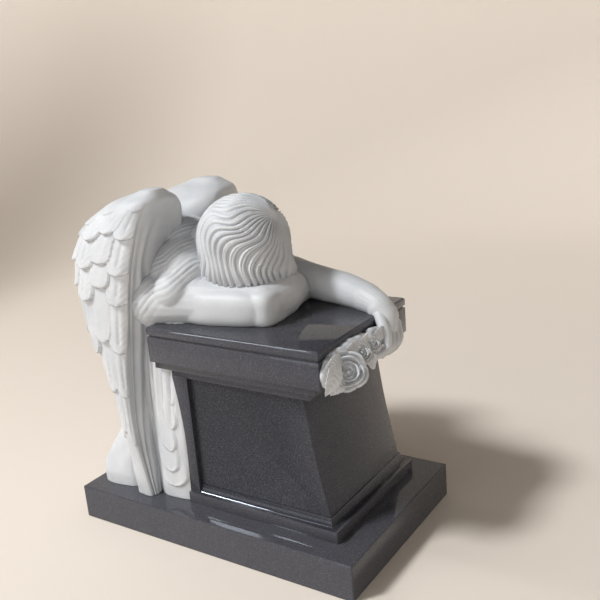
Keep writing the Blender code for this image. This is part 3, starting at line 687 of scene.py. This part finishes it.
def lock_profile(strand):
    """A rounded ridge with a sharp groove beside it; strand counts locks."""
    share = np.abs(np.mod(strand, 1.0) - 0.5) * 2
    ridge = 1 - share ** 1.8
    fine = 0.20 * np.cos(strand * 3 * 2 * np.pi) + 0.10 * np.cos(strand * 5 * 2 * np.pi + 1)
    return ridge + fine


def build_hair():
    """Locks round a ball whose poles are the crown and the point opposite; its lower half hangs straight."""
    side = np.array([-1.0, 0.0, 0.0])
    side -= CROWN * (side @ CROWN)
    side /= np.linalg.norm(side)
    front = np.cross(CROWN, side)
    share = np.linspace(0, 1, HAIR_LEVELS)[:, None]
    down = 0.002 + (np.pi - 0.004) * share
    turn = np.linspace(-np.pi, np.pi, HAIR_RING, endpoint=False)[None, :]
    points = (
        np.cos(down)[..., None] * CROWN
        + (np.sin(down) * np.cos(turn))[..., None] * side
        + (np.sin(down) * np.sin(turn))[..., None] * front)
    hanging = np.arctan2(-points[..., 1], -points[..., 0])
    bend = wrapped(hanging - turn)
    strand = turn + bend * ease(down, 0.95, 2.1) * ease(np.pi - np.abs(bend), 0, 1.7)
    wave = BROAD_SWING * np.sin(down * 5.4 + 1.2 * np.sin(strand * 2) + 0.4) * ease(down, 0.25, 0.8)
    wave = wave + FINE_SWING * np.sin(down * 12 + strand * 4) * ease(down, 0.4, 1.0)
    strand = (strand + wave + 0.045 * np.sin(strand * 6)) * HAIR_LOCKS / (2 * np.pi)
    smooth_back = 1 - 0.60 * ease(points[..., 2], 0.25, 0.80) * ease(points[..., 1], -0.5, 0.2)
    straight = 0.25 + 0.75 * ease(np.pi - np.abs(bend), 0.15, 0.9)
    depth = LOCK_DEPTH * ease(down, 0.06, 0.60) * ease(np.pi - down, 0.0, 0.5) * smooth_back * straight
    relief = depth * (lock_profile(strand) - 0.6)
    below = np.clip(-points[..., 2], 0, 1)
    outward = np.maximum(np.hypot(points[..., 0], points[..., 1]), 1e-6)
    dome = np.where(below > 0, (1 - below ** 5) ** 0.2 / outward, 1.0)
    aside = wrapped(np.arctan2(points[..., 1], points[..., 0]) - FRINGE_TURN)
    fringe = FRINGE_FULLNESS * np.exp(-(aside / FRINGE_WIDTH) ** 2) * ease(below, 0.45, 0.80)
    dome = np.clip(dome, 1, 20) * (1 + 0.05 * ease(below, 0.2, 0.7) + fringe)
    shape = points * (HEAD_RADII + relief[..., None])
    shape[..., :2] *= dome[..., None]
    return body_from_rings("hair", shape + np.array(HEAD))


hair = build_hair()
print("hair:", triangles(hair), "triangles")

# %% [markdown]
# ## Hand
# The hand falls from the wrist over the cap's edge and its fingers curl round the stems. It is clay again,
# but at a finer grain than the body, so that the fingers stay apart.

# %% Fuse the hand
HAND_GRAIN = 0.0016
FINGERS = 4
FINGER_SPACING = 0.0215
hand_clay = [
    limb("wrist", over_front, (0.122, 0.060, 0.032, 0.0445), (0.106, 0.014, 0.020, 0.0380),
         (0.106, -0.012, -0.004, 0.034)),
    limb("palm", over_front, (0.098, 0.008, 0.012, 0.034), (0.098, -0.014, -0.008, 0.033),
         (0.094, -0.022, -0.034, 0.030), (0.090, -0.022, -0.054, 0.024)),
    limb("palm edge", over_front, (0.114, 0.006, 0.012, 0.030), (0.118, -0.014, -0.010, 0.028),
         (0.112, -0.020, -0.034, 0.024), (0.102, -0.022, -0.054, 0.019)),
    limb("thumb", over_front, (0.078, -0.004, -0.002, 0.0190), (0.058, -0.026, -0.026, 0.0165),
         (0.048, -0.040, -0.052, 0.0150), (0.036, -0.046, -0.078, 0.0110)),
]
for i in range(FINGERS):
    x = 0.132 - FINGER_SPACING * i
    knuckle = (x, -0.030, -0.040 - 0.004 * i)
    joints = (
        (*knuckle, 0.0138),
        (x - 0.020 - 0.003 * i, -0.047, -0.072 - 0.002 * i, 0.0128),
        (x - 0.046 - 0.003 * i, -0.046, -0.092 + 0.002 * i, 0.0115),
        (x - 0.070 - 0.003 * i, -0.034, -0.104 + 0.004 * i, 0.0098))
    hand_clay.append(limb(f"finger {i}", over_front, *joints))
    hand_clay.append(ball(f"knuckle {i}", over_front(*knuckle), (0.0142, 0.0155, 0.0155)))
hand = fuse("hand", hand_clay, HAND_GRAIN, 3)
print("hand:", triangles(hand), "triangles")

# %% [markdown]
# ## Roses and leaves
# Each petal is a thin cup with a rolled lip, closed on all sides so that it prints and weighs like stone.
# Winding petals of growing size round one axis makes the spiral of the bloom.

# %% Petals
def axis_frame(axis):
    """Three directions, the last one along the axis."""
    axis = Vector(axis).normalized()
    one = axis.cross(Vector((0, 0, 1))).normalized()
    two = axis.cross(one)
    return np.array([one, two, axis])


def petal(centre, frame_rows, radius, place, spread, ring, lip, curl, thickness=0.0042):
    """One petal: place and spread are angles round the axis, ring is its distance from it, lip its height."""
    v = np.linspace(0, 1, 16)[:, None]
    u = np.linspace(-1, 1, 21)[None, :]
    width = spread * np.sqrt(np.clip(1 - (np.clip(v - 0.45, 0, 1) / 0.56) ** 2.4, 0.02, 1))
    angle = place + u * width
    cup = ring * (0.30 + 0.70 * np.sin(v * np.pi / 2) ** 0.8)
    out = cup + curl * v ** 5
    rise = -0.62 + (lip + 0.62) * v - 0.16 * curl * v ** 7 - 0.10 * u ** 2 * v
    surface = np.stack([out * np.cos(angle), out * np.sin(angle), rise + np.zeros(angle.shape)], -1) * radius
    thin = thickness * np.sqrt(np.clip(1 - (0.97 * u) ** 6, 0.02, 1)) * (1 - 0.35 * v)
    inward = np.stack([-np.cos(angle), -np.sin(angle), 0.4 * v + np.zeros(angle.shape)], -1)
    inner = surface + inward * thin[..., None]
    rings = np.concatenate([surface, inner[:, ::-1]], axis=1) @ frame_rows + np.array(centre)
    return body_from_rings("petal", rings)


# Whorls from the heart outward, in rose radii: how many petals, their ring, lip height, curl and half spread.
WHORLS = (
    (3, 0.28, 0.62, 0.02, 1.25),
    (3, 0.50, 0.60, 0.07, 1.30),
    (4, 0.74, 0.46, 0.14, 1.05),
    (5, 0.94, 0.20, 0.22, 0.88),
)
WHORL_TURN = 0.37


def core(name, centre, rows, radius, width, height, shift):
    """A ball on the rose's axis that fills the space between the petals; its sizes are in rose radii."""
    obj = ball(name, (0, 0, 0), (1, 1, 1))
    shape = np.array([width, width, height]) * radius
    set_points(obj, (read(obj) * shape + np.array([0, 0, shift * radius])) @ rows + np.array(centre))
    return obj


def rose(centre, axis, radius):
    """A full rose: a tight heart and four whorls of petals, the outer ones rolled back."""
    rows = axis_frame(axis)
    parts = [core("heart", centre, rows, radius, 0.17, 0.55, 0.05)]
    for whorl, (count, ring, lip, curl, spread) in enumerate(WHORLS):
        for i in range(count):
            place = 2 * np.pi * (i + WHORL_TURN * whorl) / count
            parts.append(petal(centre, rows, radius, place, spread, ring + 0.04 * (i % 2), lip, curl))
    parts.append(core("cup", centre, rows, radius, 0.66, 0.50, -0.16))
    return parts


# %% Leaves
TEETH, TOOTH_SIZE = 8, 0.07
VEINS, VEIN_HEIGHT, VEIN_SLANT = 7, 0.0007, 1.1
MIDRIB_HEIGHT, MIDRIB_WIDTH = 0.0014, 0.10
LEAF_FOLD = 0.22


def leaf(base, tip, width, facing, bend=0.010, thickness=0.006):
    """A pointed leaf from base to tip with a midrib, veins and a toothed edge."""
    base, tip, facing = (np.array(v, float) for v in (base, tip, facing))
    along = tip - base
    length = np.linalg.norm(along)
    along /= length
    across = np.cross(facing, along)
    across /= np.linalg.norm(across)
    up = np.cross(along, across)
    s = np.linspace(0, 1, 44)[:, None]
    u = np.linspace(-1, 1, 25)[None, :]
    teeth = 1 + TOOTH_SIZE * np.sin(s * 2 * np.pi * TEETH)
    half = width * np.sin(np.pi * np.clip(s, 0.015, 0.985) ** 0.8) ** 0.85 * teeth
    rib = MIDRIB_HEIGHT * np.exp(-(u / MIDRIB_WIDTH) ** 2)
    veins = VEIN_HEIGHT * np.cos((s * VEINS - np.abs(u) * VEIN_SLANT) * 2 * np.pi) * (1 - u ** 2)
    fold = LEAF_FOLD * half * np.abs(u)
    upper = fold + rib + veins + bend * np.sin(np.pi * s)
    thin_edge = np.sqrt(np.clip(1 - (0.98 * u) ** 4, 0.02, 1))
    lower = upper - thickness * thin_edge * np.clip(np.sin(np.pi * s), 0.1, 1)
    middle = base + s[..., None] * along * length

    def sheet(height):
        return middle + (u * half)[..., None] * across + height[..., None] * up

    rings = np.concatenate([sheet(upper), sheet(lower)[:, ::-1]], axis=1)
    return body_from_rings("leaf", rings)


# %% Arrange the bunch from the near corner to the hand
OUT = (-0.25, -0.95, 0.10)
BACKING_GRAIN = 0.003
BACKING_ROUGHNESS, BACKING_LUMPS = 0.0035, 0.009
bunch_parts = rose(over_front(-0.164, -0.032, -0.078), (-0.74, -0.62, 0.28), 0.049)
bunch_parts += rose(over_front(-0.080, -0.026, -0.060), (-0.52, -0.72, 0.46), 0.032)
bunch_parts += rose(over_front(-0.010, -0.026, -0.058), (-0.38, -0.80, 0.46), 0.025)
# Base, tip and half width of each leaf.
LEAVES = (
    ((-0.205, -0.024, -0.034), (-0.245, -0.010, -0.122), 0.028),
    ((-0.180, -0.024, -0.030), (-0.250, -0.008, -0.056), 0.022),
    ((-0.190, -0.026, -0.080), (-0.220, -0.010, -0.130), 0.024),
    ((-0.120, -0.030, -0.080), (-0.080, -0.022, -0.126), 0.022),
    ((-0.110, -0.020, -0.032), (-0.160, -0.020, -0.030), 0.018),
    ((-0.060, -0.030, -0.080), (0.000, -0.028, -0.118), 0.021),
    ((-0.020, -0.030, -0.070), (0.052, -0.036, -0.100), 0.020),
    ((0.000, -0.024, -0.036), (0.064, -0.024, -0.034), 0.017),
    ((-0.160, -0.030, -0.100), (-0.140, -0.022, -0.136), 0.016),
    ((-0.030, -0.024, -0.030), (-0.085, -0.022, -0.026), 0.016),
)
for base, tip, width in LEAVES:
    bunch_parts.append(leaf(over_front(*base), over_front(*tip), width, OUT))
for i, drop in enumerate((0.000, 0.010, 0.022)):
    bunch_parts.append(limb(
        f"stem {i}", over_front, (-0.070, -0.016, -0.070 - drop, 0.0060),
        (0.020, -0.030, -0.078 - drop, 0.0055), (0.085, -0.028, -0.088 - drop, 0.0050),
        (0.122, -0.018, -0.108 - 0.6 * drop, 0.0045)))
backing = [
    ball("backing", over_front(-0.172, -0.002, -0.074), (0.076, 0.022, 0.054), (0, 6, 0)),
    ball("bed", over_front(-0.070, -0.002, -0.056), (0.130, 0.028, 0.040), (0, 6, 0)),
    ball("spray", over_front(0.040, -0.010, -0.062), (0.080, 0.026, 0.038), (0, 14, 0)),
]
backing = fuse("backing", backing, BACKING_GRAIN, 3)
points = read(backing)
rough = BACKING_ROUGHNESS * chisel(points, BACKING_LUMPS, 1.0)
set_points(backing, points + read(backing, "normal") * rough[:, None])
bunch_parts.append(backing)
bunch = join("bunch", bunch_parts)
bunch.data.shade_smooth()
print("bunch:", triangles(bunch), "triangles")

# %% [markdown]
# ## Granite pedestal
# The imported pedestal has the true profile, but its edges are knife sharp. Polished stone catches light on
# a small round along every edge, so a copy of it gets a bevel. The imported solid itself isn't touched.

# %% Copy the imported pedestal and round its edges
EDGE_ROUND = 0.0013


def cleaned_copy(name, source):
    """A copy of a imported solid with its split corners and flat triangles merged."""
    bm = bmesh.new()
    bm.from_mesh(bpy.data.objects[source].data)
    bm.transform(bpy.data.objects[source].matrix_world)
    bmesh.ops.remove_doubles(bm, verts=bm.verts, dist=1e-5)
    bmesh.ops.dissolve_limit(bm, angle_limit=math.radians(0.3), verts=bm.verts, edges=bm.edges)
    mesh = bpy.data.meshes.new(name)
    bm.to_mesh(mesh)
    bm.free()
    return collect(bpy.data.objects.new(name, mesh))


pedestal = cleaned_copy("granite", "pedestal")
rounding = pedestal.modifiers.new("rounded edges", "BEVEL")
rounding.width = EDGE_ROUND
rounding.segments = 2
rounding.limit_method = "ANGLE"
rounding.angle_limit = math.radians(25)
rounding.use_clamp_overlap = True
pedestal = applied(pedestal)
pedestal.data.shade_smooth()
pedestal.data.set_sharp_from_angle(angle=math.radians(32))
print("pedestal:", triangles(pedestal), "triangles")

# %% Cut the marble where it meets the granite
def cut_to_granite(obj):
    """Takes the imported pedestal, grown by one gap, out of a closed body."""
    room = cleaned_copy("granite room", "pedestal")
    points = read(room)
    set_points(room, points + read(room, "normal") * GAP)
    cut = obj.modifiers.new("cut to the granite", "BOOLEAN")
    cut.operation = "DIFFERENCE"
    cut.solver = "MANIFOLD"
    cut.object = room
    name = obj.name
    whole = triangles(obj)
    obj = applied(obj)
    obj.name = name
    bpy.data.objects.remove(room)
    print(f"{name}: {whole} triangles before the cut, {triangles(obj)} after")
    return obj


robe = cut_to_granite(robe)
body = cut_to_granite(body)
hand = cut_to_granite(hand)
bunch = cut_to_granite(bunch)

# %% Name the pieces, attach them to the body and hide the parts that they replace
MARBLE = {
    "angel_right_wing": right_wing, "angel_left_wing": left_wing, "angel_robe": robe, "angel_body": body,
    "angel_hair": hair, "angel_hand": hand, "rose_bunch": bunch,
}
for name, obj in MARBLE.items():
    obj.name = name
    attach(obj, root)
    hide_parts("angel")
pedestal.name = "granite_pedestal"
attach(pedestal, root)
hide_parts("pedestal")
print("triangles in all:", sum(triangles(obj) for obj in MARBLE.values()) + triangles(pedestal))

# %% [markdown]
# ## Materials
# Both stones share two node groups, so that a change to the grain is made once. The groups give only masks;
# each stone keeps its own Principled BSDF, where its finish can be seen and changed.

# %% Tools for node groups
def new_group(name, inputs, outputs):
    """A shader node group of plain values: inputs with their usual values, and the names of the outputs."""
    group = bpy.data.node_groups.new(name, "ShaderNodeTree")
    for socket, value in inputs.items():
        made = group.interface.new_socket(socket, in_out="INPUT", socket_type="NodeSocketFloat")
        made.default_value = value
    for socket in outputs:
        group.interface.new_socket(socket, in_out="OUTPUT", socket_type="NodeSocketFloat")
    return group, group.nodes.new("NodeGroupInput"), group.nodes.new("NodeGroupOutput")


def add(tree, kind, **values):
    """A node with its settings; a value whose name is a socket goes into that socket."""
    node = tree.nodes.new(kind)
    for name, value in values.items():
        if hasattr(node, name):
            setattr(node, name, value)
        else:
            node.inputs[name.replace("_", " ")].default_value = value
    return node


def math_node(tree, operation, first, second):
    node = tree.nodes.new("ShaderNodeMath")
    node.operation = operation
    for socket, value in zip(node.inputs, (first, second)):
        if isinstance(value, (int, float)):
            socket.default_value = value
        else:
            tree.links.new(value, socket)
    return node.outputs[0]


def ramp(tree, value, stops):
    """A colour ramp with (place, colour) stops."""
    node = tree.nodes.new("ShaderNodeValToRGB")
    elements = node.color_ramp.elements
    while len(elements) < len(stops):
        elements.new(0.5)
    for element, (place, colour) in zip(elements, stops):
        element.position = place
        element.color = (*colour, 1.0)
    tree.links.new(value, node.inputs[0])
    return node.outputs[0]


def mixed(tree, blend, factor, first, second):
    """Two colours mixed; the factor and the second may be plain values."""
    node = tree.nodes.new("ShaderNodeMix")
    node.data_type = "RGBA"
    node.blend_type = blend
    for socket, value in ((node.inputs[0], factor), (node.inputs[6], first), (node.inputs[7], second)):
        if isinstance(value, (int, float)):
            socket.default_value = value
        elif isinstance(value, tuple):
            socket.default_value = (*value, 1.0)
        else:
            tree.links.new(value, socket)
    return node.outputs[2]


# %% Shared group: crystal grain in the stone's own space
def make_grain():
    """Fine grain, crystal flecks and broad clouds, at a grain size in metres."""
    group, inside, outside = new_group("stone grain", {"Size": 0.002}, ("Grain", "Flecks", "Clouds"))
    place = add(group, "ShaderNodeTexCoord").outputs["Object"]
    scale = math_node(group, "DIVIDE", 1.0, inside.outputs["Size"])
    noise = add(group, "ShaderNodeTexNoise", Detail=3.0, Roughness=0.6)
    cells = add(group, "ShaderNodeTexVoronoi")
    for node in (noise, cells):
        group.links.new(place, node.inputs["Vector"])
        group.links.new(scale, node.inputs["Scale"])
    parts = add(group, "ShaderNodeSeparateColor")
    group.links.new(cells.outputs["Color"], parts.inputs[0])
    clouds = add(group, "ShaderNodeTexNoise", Scale=7.0, Detail=6.0, Roughness=0.55, Distortion=0.6)
    group.links.new(place, clouds.inputs["Vector"])
    for name, node in (("Grain", noise), ("Flecks", parts), ("Clouds", clouds)):
        group.links.new(node.outputs[0], outside.inputs[name])
    return group


# %% Shared group: hollows and edges, from how sharply the surface bends; the marble paints shade with the hollow mask
def make_hollows():
    """Two masks of the surface's bend, of which 0.5 is flat: below it lie the hollows, above it the edges."""
    group, _, outside = new_group("hollows and edges", {}, ("Hollow", "Edge"))
    bending = add(group, "ShaderNodeNewGeometry").outputs["Pointiness"]
    for name, low, high in (("Hollow", 0.497, 0.440), ("Edge", 0.505, 0.560)):
        mask = add(group, "ShaderNodeMapRange", interpolation_type="SMOOTHSTEP", From_Min=low, From_Max=high)
        group.links.new(bending, mask.inputs["Value"])
        group.links.new(mask.outputs[0], outside.inputs[name])
    return group


GRAIN = make_grain()
HOLLOWS = make_hollows()


# %% White marble: matte from the chisel, painted shade in the hollows and creases, paler on worn edges
def use_group(tree, group):
    node = tree.nodes.new("ShaderNodeGroup")
    node.node_tree = group
    return node


def new_material(name):
    material = bpy.data.materials.new(name)
    material.use_nodes = True
    tree = material.node_tree
    return material, tree, tree.nodes["Principled BSDF"]


def new_stone(name, grain_size, least_rough, rough_mask, rough_by):
    """A stone's material with the shared groups in it; a mask of the grain makes it rougher in places."""
    material, tree, shader = new_material(name)
    grain = use_group(tree, GRAIN)
    grain.inputs["Size"].default_value = grain_size
    rougher = math_node(tree, "MULTIPLY", grain.outputs[rough_mask], rough_by)
    tree.links.new(math_node(tree, "ADD", rougher, least_rough), shader.inputs["Roughness"])
    return material, tree, shader, grain, use_group(tree, HOLLOWS)


def make_marble():
    material, tree, shader, grain, bends = new_stone("white marble", 0.0022, 0.46, "Flecks", 0.16)
    clouds = ramp(tree, grain.outputs["Clouds"], (
        (0.30, (0.49, 0.515, 0.545)), (0.55, (0.57, 0.592, 0.618)), (0.75, (0.605, 0.622, 0.643))))
    speckles = ramp(tree, grain.outputs["Grain"], ((0.30, (0.86, 0.86, 0.87)), (0.60, (1.0, 1.0, 1.0))))
    speckled = mixed(tree, "MULTIPLY", 0.55, clouds, speckles)
    # Painted shade: the marble's colour is multiplied towards grey-blue in hollows and creases, where shade
    # falls.
    hollow = mixed(tree, "MULTIPLY", bends.outputs["Hollow"], speckled, (0.60, 0.615, 0.65))
    worn = math_node(tree, "MULTIPLY", bends.outputs["Edge"], 0.5)
    tree.links.new(mixed(tree, "ADD", worn, hollow, (0.07, 0.07, 0.07)), shader.inputs["Base Color"])
    shader.inputs["Subsurface Weight"].default_value = 0.06
    shader.inputs["Subsurface Radius"].default_value = (0.010, 0.009, 0.008)
    shader.inputs["Subsurface Scale"].default_value = 0.5
    bump = add(tree, "ShaderNodeBump", Strength=0.35, Distance=0.0006)
    tree.links.new(grain.outputs["Grain"], bump.inputs["Height"])
    tree.links.new(bump.outputs[0], shader.inputs["Normal"])
    return material


# %% Black granite: polished, with grey and dark crystals just under the polish
def make_granite():
    material, tree, shader, grain, bends = new_stone("black granite", 0.0018, 0.03, "Grain", 0.04)
    crystals = ramp(tree, grain.outputs["Flecks"], (
        (0.00, (0.022, 0.022, 0.028)), (0.60, (0.036, 0.037, 0.045)),
        (0.92, (0.050, 0.052, 0.062)), (1.00, (0.095, 0.099, 0.114))))
    clouds = ramp(tree, grain.outputs["Clouds"], ((0.3, (0.75, 0.75, 0.78)), (0.7, (1.0, 1.0, 1.0))))
    clouded = mixed(tree, "MULTIPLY", 0.5, crystals, clouds)
    worn = math_node(tree, "MULTIPLY", bends.outputs["Edge"], 0.6)
    tree.links.new(mixed(tree, "ADD", worn, clouded, (0.05, 0.05, 0.055)), shader.inputs["Base Color"])
    shader.inputs["IOR"].default_value = 1.40
    shader.inputs["Specular Tint"].default_value = (0.52, 0.58, 0.68, 1.0)
    return material


marble = make_marble()
granite = make_granite()
nodes = frame["nodes"]
for material, objects in (
        (marble, [*MARBLE.values(), nodes["angel"]]),
        (granite, [pedestal, nodes["pedestal"], nodes["base_slab"]])):
    for obj in objects:
        obj.data.materials.clear()
        obj.data.materials.append(material)
print("materials:", marble.name, "and", granite.name)

# %% [markdown]
# ## Studio
# A pale floor that curves up into a backdrop all round, a sun for a key light from the left, and weak
# fills. The polished granite shows what is around it, so a pale card stands beside it, and a narrow one
# hangs where the cap's long edge mirrors it.

# %% Floor and backdrop
KEY_TOWARD = (-0.52, 0.40, 0.75)
WALL_GLOW = 0.62
FLOOR_RADIUS = 3.6
BOWL_CURVE = 2.2
BOWL_TOP = 4.2
BOWL_STEPS = 16
FLOOR_SEGMENTS = 96


def build_floor():
    """A round floor whose rim sweeps up into a wall, turned as a body of revolution."""
    profile = [(0.001, 0.0), (1.5, 0.0), (FLOOR_RADIUS, 0.0)]
    for i in range(1, BOWL_STEPS + 1):
        angle = math.pi / 2 * i / BOWL_STEPS
        profile.append((FLOOR_RADIUS + BOWL_CURVE * math.sin(angle), BOWL_CURVE * (1 - math.cos(angle))))
    profile.append((FLOOR_RADIUS + BOWL_CURVE, BOWL_TOP))
    mesh = bpy.data.meshes.new("floor")
    mesh.from_pydata([(r, 0, z) for r, z in profile], [(i, i + 1) for i in range(len(profile) - 1)], [])
    obj = collect(bpy.data.objects.new("floor", mesh))
    turned = obj.modifiers.new("turned", "SCREW")
    turned.steps = FLOOR_SEGMENTS
    turned.render_steps = FLOOR_SEGMENTS
    turned.merge_threshold = 0.0001
    turned.use_merge_vertices = True
    turned.use_normal_flip = True
    obj = applied(obj)
    obj.data.shade_smooth()
    return obj


floor = build_floor()
print("floor:", triangles(floor), "triangles")

# %% Floor material: where the wall turns away from the key light, it glows by as much as it loses
floor_material, floor_tree, floor_shader = new_material("pale floor")
floor_noise = add(floor_tree, "ShaderNodeTexNoise", Scale=3.0, Detail=4.0)
floor_colour = ramp(floor_tree, floor_noise.outputs[0], (
    (0.35, (0.700, 0.640, 0.572)), (0.65, (0.718, 0.656, 0.588))))
floor_tree.links.new(floor_colour, floor_shader.inputs["Base Color"])
floor_tree.links.new(floor_colour, floor_shader.inputs["Emission Color"])
facing = add(floor_tree, "ShaderNodeVectorMath", operation="DOT_PRODUCT")
facing.inputs[1].default_value = KEY_TOWARD
floor_tree.links.new(add(floor_tree, "ShaderNodeNewGeometry").outputs["Normal"], facing.inputs[0])
glow = add(floor_tree, "ShaderNodeMapRange", From_Min=KEY_TOWARD[2], From_Max=0.0, To_Max=WALL_GLOW)
floor_tree.links.new(facing.outputs["Value"], glow.inputs["Value"])
floor_tree.links.new(glow.outputs[0], floor_shader.inputs["Emission Strength"])
floor_shader.inputs["Roughness"].default_value = 0.9
floor.data.materials.append(floor_material)
print("floor material:", floor_material.name)

# %% Lights
def area_light(name, place, target, size, watts, colour=(1.0, 1.0, 1.0)):
    data = bpy.data.lights.new(name, "AREA")
    data.shape = "RECTANGLE"
    data.size, data.size_y = size
    data.energy = watts
    data.color = colour
    obj = collect(bpy.data.objects.new(name, data))
    obj.location = place
    obj.rotation_euler = (Vector(target) - Vector(place)).to_track_quat("-Z", "Y").to_euler()
    return obj


def sun_light(name, toward, strength, softness, colour=(1.0, 1.0, 1.0)):
    """A light from far away; toward points from the object to the light, softness is its width in degrees."""
    data = bpy.data.lights.new(name, "SUN")
    data.energy = strength
    data.angle = math.radians(softness)
    data.color = colour
    obj = collect(bpy.data.objects.new(name, data))
    obj.rotation_euler = Vector(toward).to_track_quat("Z", "Y").to_euler()
    return obj


lights = [
    sun_light("key", KEY_TOWARD, 2.42, 10),
    area_light("fill", (-3.0, -2.0, 1.8), (0, 0, 0.5), (1.4, 1.4), 11, (0.90, 0.95, 1.0)),
    area_light("left card", (-3.3, 0.3, 1.1), (0, 0, 0.5), (1.6, 1.6), 18, (0.95, 0.97, 1.0)),
    area_light("edge card", (-1.23, 1.75, 2.9), (-1.23, 1.75, 0.0), (0.24, 2.6), 40),
]
# The edge card hangs level, with its long side along the cap's edge.
lights[-1].rotation_euler = (0.0, 0.0, 0.0)
world = bpy.context.scene.world or bpy.data.worlds.new("studio")
bpy.context.scene.world = world
world.use_nodes = True
world.node_tree.nodes["Background"].inputs["Color"].default_value = (0.88, 0.93, 1.0, 1.0)
world.node_tree.nodes["Background"].inputs["Strength"].default_value = 0.02
bpy.context.scene.view_settings.view_transform = "Standard"
print("lights:", [light.name for light in lights])

# %% [markdown]
# ## Camera
# The camera stands where the photograph was taken: its place, turn and focal length were fitted to the
# corners of the pedestal.

# %% Place the camera
CAMERA_PLACE = (-1.89691, -1.47930, 1.39484)
CAMERA_TURN, CAMERA_TILT, CAMERA_ROLL = -0.97626, 0.28738, -0.08030
SENSOR_WIDTH, LENS = 36.0, 49.61
camera_data = bpy.data.cameras.new("camera")
camera_data.sensor_width = SENSOR_WIDTH
camera_data.lens = LENS
camera = collect(bpy.data.objects.new("camera", camera_data))
upright = Matrix.Rotation(math.pi / 2 - CAMERA_TILT, 4, "X") @ Matrix.Rotation(CAMERA_ROLL, 4, "Z")
camera.matrix_world = Matrix.Translation(CAMERA_PLACE) @ Matrix.Rotation(CAMERA_TURN, 4, "Z") @ upright
bpy.context.scene.camera = camera
print("camera at", CAMERA_PLACE, "lens", LENS)
